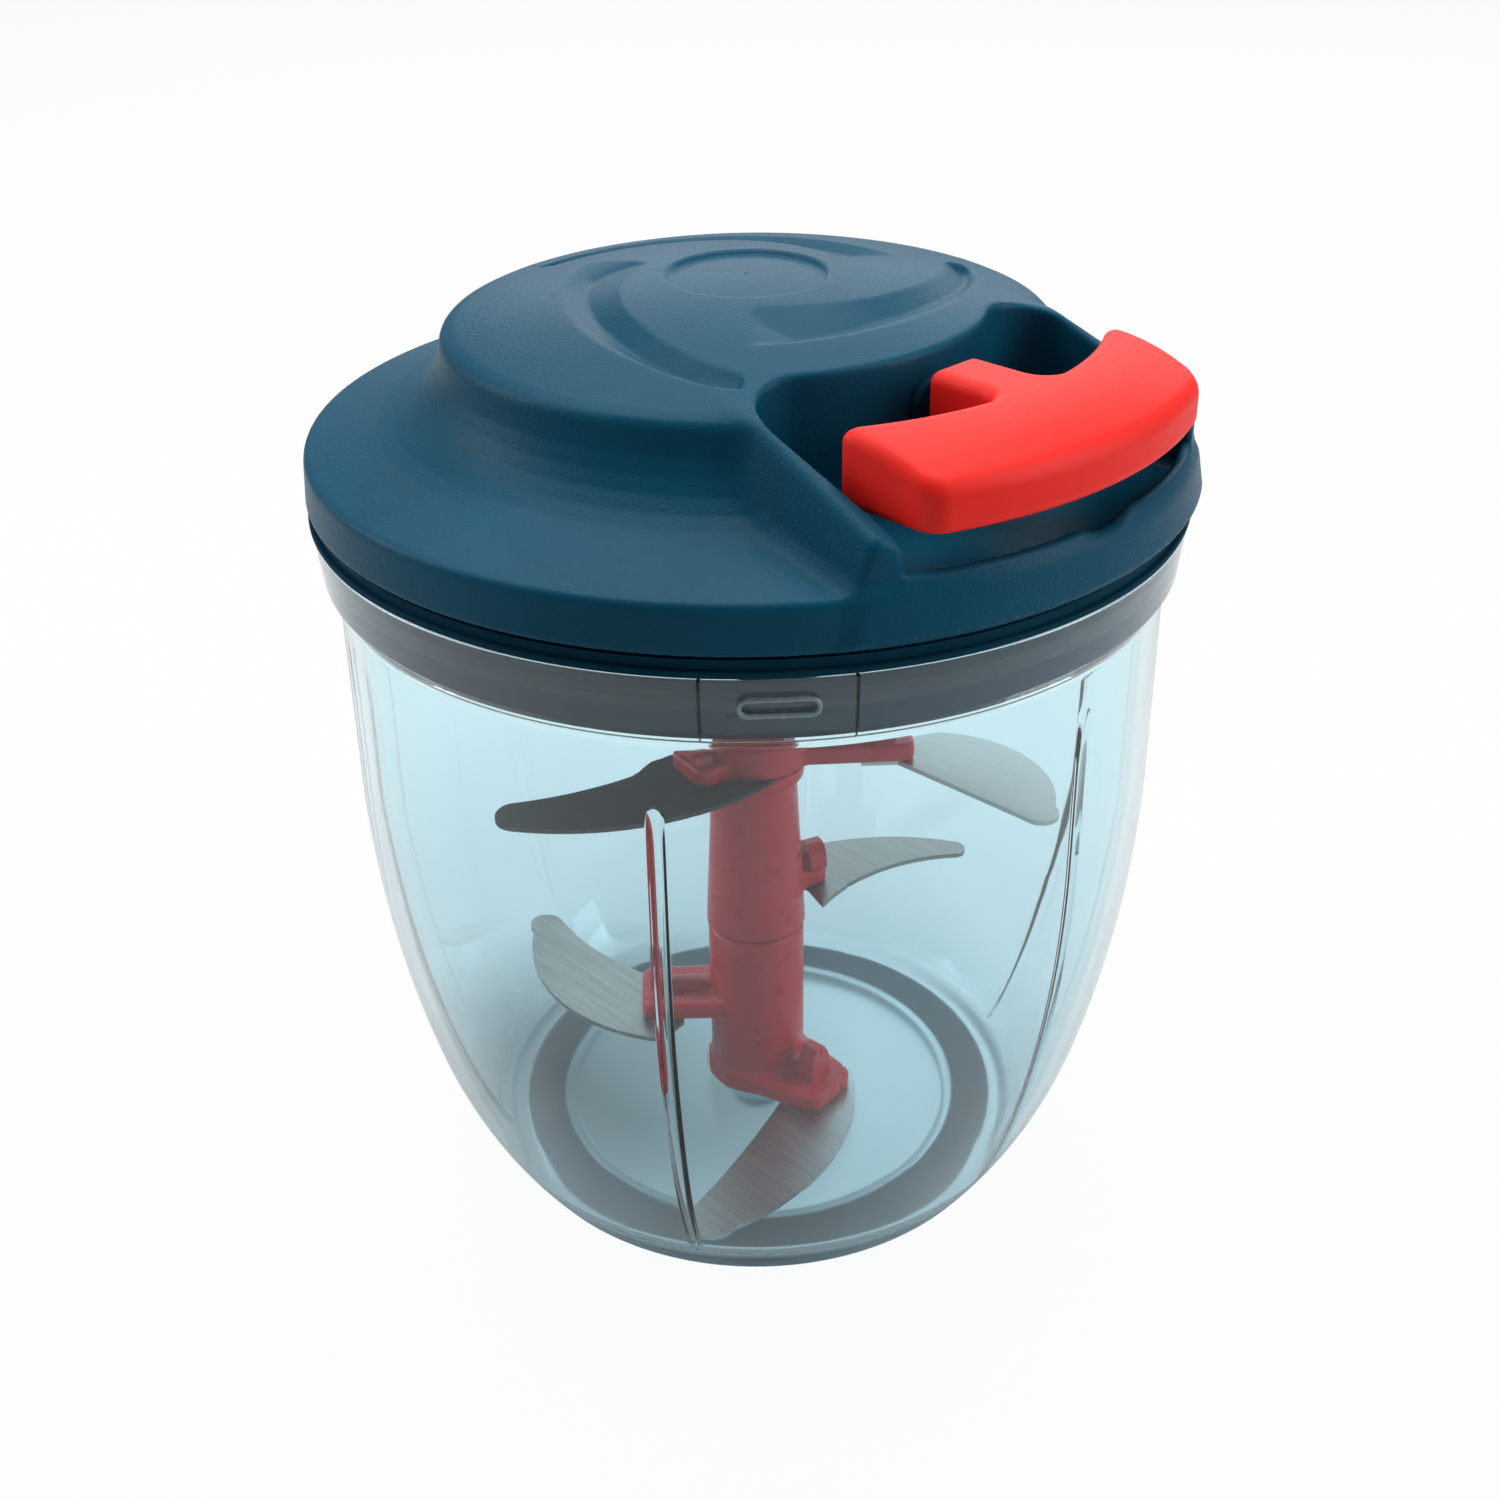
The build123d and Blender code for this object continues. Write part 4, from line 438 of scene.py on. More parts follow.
BLADE_AZIMUTHS = {
    "top_left_blade": -100.5,
    "top_right_blade": 47.5,
    "middle_blade": 70.5,
    "side_blade": -132.5,
    "bottom_blade": 5.5,
}
# Painted shade and painted dark reflection: each blade's steel is darkened by how much light
# reaches it. The top left blade, in the shade under the lid, is near black with a dimmed sheen;
# blades without an entry keep plain steel.
BLADE_PAINTED_SHADE = {
    "top_left_blade": {"dark": (0.018, 0.02, 0.022), "light": (0.045, 0.048, 0.05), "edge": 0.3},
    "top_right_blade": {"dark": (0.35, 0.355, 0.345), "light": (0.44, 0.445, 0.435)},
    "middle_blade": {"dark": (0.18, 0.175, 0.165), "light": (0.25, 0.245, 0.235)},
    "side_blade": {"dark": (0.20, 0.195, 0.185), "light": (0.30, 0.295, 0.285)},
}
FINISHES = {
    "bowl": CLEAR, "base_ring": RING, "pivot_pin": PIN_STEEL, "shaft_bush": ACETAL,
    "lid_base": DARK, "lid_seal": SEAL, "housing_screws": SCREW_STEEL, "hub_bush": ACETAL,
    "drive_hub": DARK, "clutch_pawls": ACETAL, "cord_spool": ACETAL, "cord_winding": CORD,
    "recoil_spring": SPRING_STEEL, "spool_cap": SPRING_STEEL, "spring_arbor": ACETAL,
    "spool_axle": PIN_STEEL, "cord_guide": DARK, "cord_lead": CORD, "cord_knot": CORD,
    "pull_cord": CORD, "blade_shaft_upper": RED, "blade_shaft_lower": RED, "blade_clips": RED,
    "lid_cover": TEAL, "pull_handle": CORAL,
}
for node_name, finish in FINISHES.items():
    NODES[node_name].data.materials.clear()
    NODES[node_name].data.materials.append(finish)
# Each blade gets its own steel, darkened by its painted shade.
for node_name, azimuth in BLADE_AZIMUTHS.items():
    tones = BLADE_PAINTED_SHADE.get(node_name, {})
    finish = steel(node_name + "_steel", radians(90 - azimuth), **tones)
    NODES[node_name].data.materials.clear()
    NODES[node_name].data.materials.append(finish)


# ---- lid cover -----------------------------------------------------------------------------------
COVER_WALL = 2.4
COVER_RIM = 119.8
CROWN_TOP = 148.5
CROWN_RADIUS = 143.0
POCKET_HALF = 29.4
POCKET_BACK = 34.2
POCKET_CORNER = 6.8
POCKET_FLOOR = 124.6
LIP_RADIUS = 63.6
LIP_WALL = 1.3
LIP_HEIGHT = 128.7
CHEEK_HALF = 31.2
RIDGE = ((32.0, 142.2), (56.0, 132.9))
CHEEK_TOP = 141.0
CHEEK_DRAFT = 14
CHEEK_BACK = -20.0
DISC_RADIUS = 11.3
DISC_DEPTH = 0.75
SCOOP_RADIUS = 9.9
SCOOP_RISE = 8.4
CORD_HEIGHT = 137.3
EYELET_RADIUS = 2.9


def crown_height(r):
    return CROWN_TOP - CROWN_RADIUS + np.sqrt(np.maximum(CROWN_RADIUS**2 - r * r, 0.0))


def cover_section():
    """The cover's outer half section, carried on below the rim."""
    crown = [(r, float(crown_height(np.float64(r)))) for r in np.linspace(0, 41.6, 40)]
    crest = [(42.3, 141.98), (42.9, 141.7), (43.35, 141.25), (43.65, 140.6), (43.8, 139.9)]
    foot = [(43.95, 139.2), (44.5, 137.2), (45.5, 135.1), (46.9, 133.2), (48.8, 131.5),
            (51.0, 130.2), (53.4, 129.3), (56.0, 128.6)]
    flange = [(63.2, 126.72), (63.7, 126.5), (64.0, 126.05), (64.12, 125.5), (64.5, COVER_RIM)]
    return crown + crest + foot + flange + [(64.8, 112.0), (0.0, 112.0)]


COVER_PROFILE = section_table(cover_section(), 68.0, 108.0, 156.0)

SWIRL_TAIL = -45.5
SWIRL_DEPTH = 1.5
SWIRL_SPAN = 125
# degrees along the swirl and the radius there
SWIRL_INNER = [
    (0, 33.3), (5.4, 31.8), (10.8, 30.2), (17, 28.4), (25, 26.1), (33.5, 24.0), (41.8, 22.3),
    (50.8, 20.8), (60, 19.6), (68, 18.6), (79, 17.4), (94, 16.1), (111, 15.4), (125, 15.1),
]
SWIRL_DEEP = [
    (0, 36.1), (5.9, 34.9), (10.5, 33.8), (15.8, 32.3), (22.2, 30.5), (29, 28.8), (36.5, 27.1),
    (45.2, 25.5), (55, 24.3), (66, 23.3), (75, 23.0), (85, 22.9), (94, 22.9), (125, 22.6),
]
SWIRL_OUTER = [
    (0, 36.6), (6.7, 36.0), (12.3, 34.9), (18.7, 33.5), (26.3, 31.9), (35.3, 30.4), (43.3, 29.3),
    (52.6, 28.2), (61.4, 27.3), (72.9, 26.5), (84, 26.1), (97, 26.1), (125, 26.4),
]
# radius and the degrees there at which the head folds and ends
HEAD_FOLD = [(15.1, 111.0), (19.1, 106.8), (22.6, 102.4), (26.5, 98.5)]
HEAD_END = [(15.1, 114.3), (17.9, 117.8), (20.9, 119.4), (26.5, 119.7)]


def curve(table, at):
    """A value read off a table of pairs, by straight lines between them."""
    return np.interp(at, *zip(*table))


def swirl_depth(x, y):
    """How far the swirls sink the crown.

    Each is a groove with a short steep inner slope and a wide outer one. It starts blunt at the
    tail, winds in, and rises again at the head from a fold to a straight end.
    """
    r = np.hypot(x, y)
    depth = np.zeros(x.shape)
    for turn in (0, 120, 240):
        along = (SWIRL_TAIL + turn - np.degrees(np.arctan2(x, -y))) % 360
        inner, deep, outer = [curve(t, along) for t in (SWIRL_INNER, SWIRL_DEEP, SWIRL_OUTER)]
        fold, end = curve(HEAD_FOLD, r), curve(HEAD_END, r)
        slopes = [
            (r - inner) / (deep - inner),
            (outer - r) / (outer - deep),
            (end - along) / (end - fold),
            along / 1.6,
        ]
        groove = np.clip(np.minimum.reduce(slopes), 0.0, 1.0)
        depth = np.maximum(depth, np.where(along < SWIRL_SPAN, SWIRL_DEPTH * groove, 0.0))
    return depth


def pocket_outline():
    """The pocket seen from above: a round back, filleted corners and two straight sides."""
    x = POCKET_HALF - POCKET_CORNER
    y = sqrt((POCKET_BACK + POCKET_CORNER) ** 2 - x * x)
    turn = degrees(atan2(x, y))
    back = [
        (POCKET_BACK * sin(radians(a)), -POCKET_BACK * cos(radians(a)))
        for a in np.linspace(-turn, turn, 25)
    ]
    corner = arc_points((x, -y), POCKET_CORNER, 90 + turn, 0, 12)
    other = [(-px, py) for px, py in corner[::-1]]
    return back + corner + [(POCKET_HALF, -72.0), (-POCKET_HALF, -72.0)] + other


SWIRLS = Table(swirl_depth, (-44, -44), (44, 44), 0.12, 3)
POCKET_PLAN = Table(
    lambda x, y: polygon_field(pocket_outline(), x, y), (-68, -68), (68, 0), 0.25
)


def cover_form(x, y, z):
    """The cover's outer form with dome, cheeks, pocket, swirls and disc, without its hollow."""
    r = np.hypot(x, y)
    sink = SWIRLS(x, y) * smoothstep(138, 141, z)
    inside_disc = 1 - smoothstep(DISC_RADIUS - 0.4, DISC_RADIUS + 0.4, r)
    disc = DISC_DEPTH * inside_disc * smoothstep(140, 143, z)
    dome = COVER_PROFILE(r, z + sink + disc)
    draft = radians(CHEEK_DRAFT)
    (start, high), (end, low) = RIDGE
    fall = atan2(high - low, end - start)
    sides = (np.abs(x) - CHEEK_HALF) * cos(draft) + (z - CHEEK_TOP) * sin(draft)
    roof = fmax((z - high) * cos(fall) + (-y - start) * sin(fall), z - high, 0.6)
    front = (z - low) * 0.2 + (-y - end) * 0.98
    cheeks = fmax(fmax(sides, roof, 1.3), front, 2.2)
    cheeks = fmax(cheeks, y - CHEEK_BACK, 0.0)
    lip = fmax(z - LIP_HEIGHT, np.abs(x) - CHEEK_HALF, 0.5)
    lip = fmax(lip, 50.0 + y, 0.0)
    raised = fmin(cheeks, lip, 0.8)
    rim = r - LIP_RADIUS - 0.23 * np.maximum(LIP_HEIGHT - z, 0.0)
    raised = fmax(raised, rim, 0.8)
    raised = fmax(raised, 121.0 - z, 0.0)
    form = fmin(dome, raised, 1.7)
    plan = np.where(y < -2, POCKET_PLAN(x, y), np.hypot(x, y) + 8.0)
    deep = fmax(fmax(plan, r - (LIP_RADIUS - LIP_WALL), 0.3), POCKET_FLOOR - z, 1.4)
    high = fmax(plan, LIP_HEIGHT - z, 0.5)
    a = radians(1.0)
    across = x * cos(a) + y * sin(a)
    scoop = np.hypot(across, z - LIP_HEIGHT - SCOOP_RISE) - SCOOP_RADIUS
    scoop = fmax(scoop, y + 40, 0.0)
    pocket = fmin(fmin(deep, high, 0.4), scoop, 0.4)
    return fcut(form, pocket, 0.9)


def cover_field(x, y, z):
    """The cover as a shell, open below, with the eyelet's hole in the back wall of the pocket."""
    form = cover_form(x, y, z)
    shell = fcut(form, form + COVER_WALL, 0.3)
    rim = fmax(shell, COVER_RIM - z, 0.5)
    eyelet = np.hypot(x, z - CORD_HEIGHT) - EYELET_RADIUS
    return fcut(rim, fmax(eyelet, y - CHEEK_BACK, 0), 0.3)


shape("cover_skin", cover_field, (-66, -66, 118.6), (66, 66, 150.6), (0.5, 1.0),
      "lid", TEAL, "lid_cover")


# ---- pull handle ---------------------------------------------------------------------------------
GRIP_OUTER = 64.6
GRIP_INNER = 50.3
GRIP_HALF = 27.6
GRIP_BOTTOM = 133.4
STEM_HALF = 4.6
STEM_END = 37.5
GRIP_CROWN = [
    (0, 143.5), (50, 143.5), (52, 143.4), (54, 143.2), (56, 142.85), (58, 142.35), (60, 141.65),
    (62, 140.8), (64, 139.8), (66, 138.7),
]
CORD_BORE = 1.3
KNOT_PLACE = 58.5
KNOT_ROOM = 3.0
KNOT_ROOM_TOP = 140.3


def handle_field(x, y, z):
    """The grip, an arc round the lid's axis with a crowned top, and the stem behind it."""
    r = np.hypot(x, y)
    grip = fmax(r - GRIP_OUTER, GRIP_INNER - r, 0.0)
    grip = fmax(grip, np.abs(x) - GRIP_HALF, 2.6)
    grip = fmax(grip, y, 0.0)
    stem = fmax(np.abs(x) - STEM_HALF, -y - 56.0, 0.0)
    stem = fmax(stem, y + STEM_END, 1.4)
    plan = fmax(fmin(grip, stem, 3.4), r - GRIP_OUTER, 0.0)
    body = fmax(plan, (z - curve(GRIP_CROWN, r)) * 0.95, 1.7)
    body = fmax(body, GRIP_BOTTOM - z, 1.2)
    bore = fmax(np.hypot(x, z - CORD_HEIGHT) - CORD_BORE, -y - 57.0, 0.0)
    room = fmax(np.hypot(x, y + KNOT_PLACE) - KNOT_ROOM, z - KNOT_ROOM_TOP, 0.0)
    return fcut(body, np.minimum(bore, room), 0.25)


shape("handle_skin", handle_field, (-29, -66.2, 132.4), (29, -36.4, 144.8), (0.45, 0.8),
      "handle", CORAL, "pull_handle")


# ---- blade shaft ---------------------------------------------------------------------------------
SHAFT_FOOT = 8.6
SEAM = 38.8
BUSH_BORE = 4.25
BUSH_TOP = 25.6
SPIGOT_RADIUS = 5.9
SPIGOT_TOP = 46.3
HEX_BOTTOM = 98.5
HEX_TOP = 110.0
HEX_FLAT = 5.2
ARM_THICKNESS = 2.9
CLIP_HOLE = 1.5
# azimuth, underside, reach, half width at the shaft and at the end, distance of the clip's hole
ARMS = {
    "top_left": (BLADE_AZIMUTHS["top_left_blade"], 70.4, 13.0, 4.7, 4.7, 10.8),
    "top_right": (BLADE_AZIMUTHS["top_right_blade"], 70.4, 25.5, 4.7, 4.2, 21.0),
    "middle": (BLADE_AZIMUTHS["middle_blade"], 44.2, 12.3, 3.2, 3.0, 10.6),
    "side": (BLADE_AZIMUTHS["side_blade"], 22.3, 19.6, 6.2, 5.7, 16.4),
    "bottom": (BLADE_AZIMUTHS["bottom_blade"], SHAFT_FOOT, 16.8, 8.9, 5.2, 12.4),
}


def turned_to(azimuth, x, y):
    """Coordinates out along an azimuth and across it."""
    a = radians(azimuth)
    return x * sin(a) - y * cos(a), x * cos(a) + y * sin(a)


def brick(u, v, w, half, radius):
    """A box with rounded edges round the origin."""
    q = [np.abs(a) - h + radius for a, h in zip((u, v, w), half)]
    outside = np.sqrt(sum(np.maximum(a, 0.0) ** 2 for a in q))
    return outside + np.minimum(np.maximum.reduce(q), 0.0) - radius


def arm_field(name, x, y, z):
    """A tapered plate with rounded edges, and a rib along its top from the shaft to the clip."""
    azimuth, bottom, reach, root, half, clip = ARMS[name]
    out, across = turned_to(azimuth, x, y)
    taper = atan2(root - half, reach)
    side = (np.abs(across) - root) * cos(taper) + out * sin(taper)
    plan = fmax(fmax(side, out - reach, 1.8), -out, 0.0)
    middle = bottom + ARM_THICKNESS / 2
    plate = fmax(plan, np.abs(z - middle) - ARM_THICKNESS / 2, 0.55)
    top = bottom + ARM_THICKNESS
    rib = brick(out - clip / 2, across, z - top, ((clip - 3.0) / 2 + 1.5, 1.2, 1.6), 0.4)
    hole = np.hypot(out - clip, across) - CLIP_HOLE
    return fcut(fmin(plate, rib, 0.5), hole, 0.0)


LOWER_SECTION = section_table(
    [(BUSH_BORE, SHAFT_FOOT), (8.9, SHAFT_FOOT), (8.9, 10.2), (8.3, 11.4), (8.0, 12.4),
     (8.0, SEAM - 0.6), (7.3, SEAM), (SPIGOT_RADIUS, SEAM), (SPIGOT_RADIUS, SPIGOT_TOP),
     (0, SPIGOT_TOP), (0, BUSH_TOP), (BUSH_BORE, BUSH_TOP)],
    12.0, 4.0, 50.0, 8)
UPPER_SECTION = section_table(
    [(SPIGOT_RADIUS, SEAM), (7.3, SEAM), (8.25, SEAM + 0.6), (6.9, 66.6), (8.1, 67.5),
     (8.1, 69.6), (6.9, 69.6), (6.9, 70.4), (8.8, 70.4), (8.8, 75.7), (6.4, 77.2),
     (6.4, HEX_BOTTOM), (5.2, 99.5), (0, 99.5), (0, SPIGOT_TOP), (SPIGOT_RADIUS, SPIGOT_TOP)],
    12.0, 34.0, 103.0, 8)


def lower_field(x, y, z):
    """The shaft's lower half with its two arms, bored for the bush."""
    body = LOWER_SECTION(np.hypot(x, y), z)
    for name in ("side", "bottom"):
        body = fmin(body, arm_field(name, x, y, z), 0.7)
    bore = fmax(np.hypot(x, y) - BUSH_BORE, z - BUSH_TOP, 0.0)
    return fcut(body, bore, 0.0)


def upper_field(x, y, z):
    """The shaft's upper half with its three arms and the hexagon that the lid drives."""
    r = np.hypot(x, y)
    body = UPPER_SECTION(r, z)
    for name in ("top_left", "top_right", "middle"):
        body = fmin(body, arm_field(name, x, y, z), 0.7)
    body = fcut(body, fmax(r - SPIGOT_RADIUS, z - SPIGOT_TOP, 0.0), 0.0)
    flats = np.maximum.reduce([np.abs(turned_to(a, x, y)[0]) for a in (30, 90, 150)]) - HEX_FLAT
    tip = fmax(fmax(flats, z - HEX_TOP, 0.4), HEX_BOTTOM - z, 0.0)
    return np.minimum(body, tip)


shape("shaft_lower_skin", lower_field, (-20, -22, 7.9), (12, 18, 47.1), (0.4, 0.8),
      "blades", RED, "blade_shaft_lower")
shape("shaft_upper_skin", upper_field, (-16, -22, 38.1), (24, 14, 110.7), (0.45, 0.9),
      "blades", RED, "blade_shaft_upper")


# ---- bowl, lid rim and catch marks ---------------------------------------------------------------
def spin(name, radii, heights, turns, body, material):
    """A closed section turned about Z.

    radii has a row for each turn and a column for each point. The faces look outward whichever way
    the section runs.
    """
    count, size = radii.shape
    x = radii * np.sin(turns)[:, None]
    y = -radii * np.cos(turns)[:, None]
    points = np.stack([x, y, np.tile(heights, (count, 1))], axis=-1).reshape(-1, 3)
    outline = radii[0] @ (np.roll(heights, -1) - np.roll(heights, 1))
    step = 1 if outline > 0 else -1
    faces = [face[::step] for face in ring_faces(count, size)]
    return new_piece(name, points, faces, body, material)


def tangent_arc(start, direction, end, count):
    """The arc that leaves start in a direction and runs to end: its points and its last direction.

    The points don't include start.
    """
    start, end = np.array(start, float), np.array(end, float)
    d = np.array(direction, float) / np.linalg.norm(direction)
    normal = np.array([-d[1], d[0]])
    chord = end - start
    radius = chord @ chord / (2 * (chord @ normal))
    centre = start + radius * normal
    a = start - centre
    turn = 2 * atan2(chord @ normal, chord @ d)
    points = []
    for t in np.linspace(0, turn, count + 1)[1:]:
        c, n = cos(t), sin(t)
        points.append(tuple(centre + (a[0] * c - a[1] * n, a[0] * n + a[1] * c)))
    last = np.array([d[0] * cos(turn) - d[1] * sin(turn), d[0] * sin(turn) + d[1] * cos(turn)])
    return points, last


def soft_corners(corners, count=5):
    """A polyline whose corners (x, y, radius) are rounded, with points close by on both sides."""
    points = []
    for k, (x, y, radius) in enumerate(corners):
        here = np.array([x, y])
        before = np.array(corners[k - 1][:2]) - here
        after = np.array(corners[(k + 1) % len(corners)][:2]) - here
        if radius == 0:
            points.append((x, y))
            continue
        u, v = before / np.linalg.norm(before), after / np.linalg.norm(after)
        half = np.arccos(np.clip(u @ v, -1, 1)) / 2
        reach = radius / np.tan(half)
        centre = here + (u + v) / np.linalg.norm(u + v) * radius / np.sin(half)
        start, end = here + u * reach - centre, here + v * reach - centre
        a0, a1 = atan2(start[1], start[0]), atan2(end[1], end[0])
        turn = (a1 - a0 + np.pi) % (2 * np.pi) - np.pi
        points.append(tuple(here + u * (reach + 0.3 * radius)))
        for t in np.linspace(0, 1, count):
            a = a0 + turn * t
            points.append((centre[0] + radius * cos(a), centre[1] + radius * sin(a)))
        points.append(tuple(here + v * (reach + 0.3 * radius)))
    return points


WAIST = 76.0
BODY_TOP = 105.8
KNEE = (55.0, 26.9)
BOWL_OUTER = 61.5
BOWL_WALL = 2.3
BOWL_INNER = BOWL_OUTER - BOWL_WALL
BOWL_FLOOR = 6.0
FLOOR_UNDERSIDE = 3.4
FOOT_BOTTOM = 0.6
FOOT_OUTER = 42.8
FOOT_INNER = 40.85
RING_RIB = (32.75, 34.05)
PIN_BORE = 2.5
BOSS_RADIUS = 4.6
BOSS_TOP = 7.9
LEDGE = 106.8
COLLAR_BORE = 61.8
COLLAR_TOP = 116.7
RIB_HALF = 1.3
RIB_DEPTH = 0.55
RIB_TOP = 98.8
RIB_RUN_OUT = 9.0
RIBS = [-56.8 + 60 * k for k in range(6)]
WINDOWS = [-41.6 + 90 * k for k in range(4)]
WINDOW_HALF = 8.9
WINDOW_DEPTH = 0.5


def side_points(inset, foot, steps):
    """The bowl's side from the waist down to the foot, as two arcs that meet at the knee."""
    waist = (BOWL_OUTER - inset, WAIST)
    knee = (KNEE[0] - inset, KNEE[1])
    upper, direction = tangent_arc(waist, (0, -1), knee, steps)
    lower, _ = tangent_arc(knee, direction, foot, steps)
    return [waist] + upper + lower


def bowl_skin():
    """The clear bowl: one turned wall with round ribs inside and thin windows in its collar."""
    inner = side_points(BOWL_WALL, (44.4, BOWL_FLOOR), 14)[::-1]
    outer = side_points(0.0, (FOOT_OUTER, FOOT_BOTTOM), 14)
    bottom = soft_corners([
        (20.0, FLOOR_UNDERSIDE, 0), (BOSS_RADIUS, FLOOR_UNDERSIDE, 0.3),
        (BOSS_RADIUS, FOOT_BOTTOM, 0.3), (0.01, FOOT_BOTTOM, 0), (0.01, 2.6, 0),
        (PIN_BORE, 2.6, 0), (PIN_BORE, BOSS_TOP, 0), (BOSS_RADIUS, BOSS_TOP, 0.5),
        (BOSS_RADIUS, BOWL_FLOOR, 0.6), (8.0, BOWL_FLOOR, 0),
    ])
    floor = [(20.0, BOWL_FLOOR), (36.0, BOWL_FLOOR), (42.0, BOWL_FLOOR)]
    corner = arc_points((42.9, BOWL_FLOOR + 1.9), 1.9, -90, -25, 7)
    wall = [p for p in inner if p[1] > BOWL_FLOOR + 2.2]
    straight = [(BOWL_INNER, z) for z in np.linspace(80, 104, 17)]
    collar = soft_corners([
        (BOWL_INNER, 104.5, 0), (BOWL_INNER, LEDGE, 0.4), (COLLAR_BORE, LEDGE, 0.3),
        (COLLAR_BORE, COLLAR_TOP, 0.3), (64.2, COLLAR_TOP, 0.35), (63.3, 108.8, 0.8),
        (BOWL_OUTER, BODY_TOP, 1.2), (BOWL_OUTER, 102.0, 0),
    ])
    rib_inner, rib_outer = RING_RIB
    foot = soft_corners([
        (*outer[-2], 0), (*outer[-1], 0.5), (FOOT_INNER, FOOT_BOTTOM, 0.3),
        (FOOT_INNER, FLOOR_UNDERSIDE, 0.3), (rib_outer, FLOOR_UNDERSIDE, 0.3),
        (rib_outer, FOOT_BOTTOM, 0.3), (rib_inner, FOOT_BOTTOM, 0.3),
        (rib_inner, FLOOR_UNDERSIDE, 0.3), (20.0, FLOOR_UNDERSIDE, 0),
    ])[:-1]
    section = bottom + floor + corner + wall + straight + collar + [(BOWL_OUTER, 90.0)]
    section += outer[:-2] + foot
    r, z = np.array(section).T
    turns = list(np.arange(0, 360, 1.5))
    for rib in RIBS:
        steps = np.linspace(-1.15 * RIB_HALF, 1.15 * RIB_HALF, 17)
        turns += [rib + degrees(s / BOWL_INNER) for s in steps]
    for window in WINDOWS:
        for side in (-1, 1):
            turns += [window + side * (WINDOW_HALF + d) for d in (-0.35, 0, 0.2, 0.55)]
    turns = np.unique(np.round(np.mod(turns, 360), 3))
    azimuths = (turns + 180) % 360 - 180
    radii = np.tile(r, (len(turns), 1))
    start = len(bottom) + len(floor)
    end = start + len(corner) + len(wall) + len(straight)
    low = np.clip((z - BOWL_FLOOR) / 1.2, 0, 1)
    reach = RIB_DEPTH * low * smoothstep(0, RIB_RUN_OUT, RIB_TOP - z)
    on_wall = (np.arange(len(r)) >= start) & (np.arange(len(r)) < end)
    for rib in RIBS:
        away = np.radians((azimuths - rib + 180) % 360 - 180) * BOWL_INNER
        bump = np.clip(1 - (away / RIB_HALF) ** 2, 0, 1)
        radii -= np.where(on_wall, np.outer(bump, reach), 0.0)
    bore = (np.abs(r - COLLAR_BORE) < 0.31) & (z > LEDGE + 0.2)
    for window in WINDOWS:
        away = np.abs((azimuths - window + 180) % 360 - 180)
        open_ = 1 - smoothstep(WINDOW_HALF - 0.1, WINDOW_HALF + 0.3, away)
        radii += np.where(bore[None, :], WINDOW_DEPTH * open_[:, None], 0.0)
    return spin("bowl_skin", radii, z, np.radians(turns), "bowl", CLEAR)


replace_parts(bowl_skin(), "bowl")


CORD_START = -35.4
CORD_END = -56.5
CORD_RADIUS = 1.0


def pull_cord():
    """The cord from the eyelet to the knot."""
    turns = np.radians(np.arange(20) * 18)
    stations = [(y, 1.0) for y in np.linspace(CORD_START, CORD_END, 25)]
    rings = [(CORD_START, 0.02)] + stations + [(CORD_END, 0.02)]
    points = [
        (CORD_RADIUS * reach * cos(t), y, CORD_HEIGHT + CORD_RADIUS * reach * sin(t))
        for y, reach in rings
        for t in turns
    ]
    count = len(turns)
    faces = ring_faces(len(rings), count, closed=False)
    faces += [tuple(range(count)), tuple(range(len(points) - 1, len(points) - count - 1, -1))]
    cord = new_piece("pull_cord_line", points, faces, None, CORD)
    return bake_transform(cord)


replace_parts(pull_cord(), "pull_cord")


def rounded(low, high, radius, count=6):
    """A rectangle in (r, z) with round corners, anticlockwise."""
    corners = [
        (high[0] - radius, low[1] + radius, -90), (high[0] - radius, high[1] - radius, 0),
        (low[0] + radius, high[1] - radius, 90), (low[0] + radius, low[1] + radius, 180),
    ]
    return [p for x, y, a in corners for p in arc_points((x, y), radius, a, a + 90, count)]


def bead(name, path, radius, body, material, sides=10):
    """A closed round bead along points in space."""
    path = np.asarray(path)
    ahead = np.roll(path, -1, axis=0) - np.roll(path, 1, axis=0)
    ahead /= np.linalg.norm(ahead, axis=1, keepdims=True)
    out = path * (1, 1, 0)
    out /= np.linalg.norm(out, axis=1, keepdims=True)
    side = np.cross(ahead, out)
    turns = np.radians(np.arange(sides) * 360.0 / sides)
    points = (
        path[:, None, :]
        + radius * np.cos(turns)[None, :, None] * out[:, None, :]
        + radius * np.sin(turns)[None, :, None] * side[:, None, :]
    ).reshape(-1, 3)
    return new_piece(name, points, ring_faces(len(path), sides), body, material)


MARK_LENGTH = 10.0
MARK_HEIGHT = 2.2
MARK_FACE = 63.85
MARK_CENTRE = 112.6
MARK_BEAD = 0.33
FLANGE_BOTTOM = 117.0
LIP_TURNS = 240


def mark_path(azimuth):
    """The outline of a catch mark, wrapped on the collar's face."""
    half = (MARK_LENGTH - MARK_HEIGHT) / 2
    flat = arc_points((half, 0), MARK_HEIGHT / 2, -90, 90, 9) + arc_points(
        (-half, 0), MARK_HEIGHT / 2, 90, 270, 9
    )
    path = []
    for along, up in flat:
        a = radians(azimuth) + along / MARK_FACE
        path.append((MARK_FACE * sin(a), -MARK_FACE * cos(a), MARK_CENTRE + up))
    return path


# Painted shade: a dark ring in the lid base's colour stands for the shade in the gap under the
# lid's flange.
def rim_shade_lip():
    """The dark lip that closes the gap between the lid's flange and the collar, put there as
    painted shade in the gap.
    """
    section = rounded((63.4, FLANGE_BOTTOM - 0.12), (64.42, FLANGE_BOTTOM + 0.75), 0.3)
    r, z = np.array(section).T
    turns = np.radians(np.arange(LIP_TURNS) * 360.0 / LIP_TURNS)
    spin("rim_shade_lip", np.tile(r, (LIP_TURNS, 1)), z, turns, "lid", DARK)


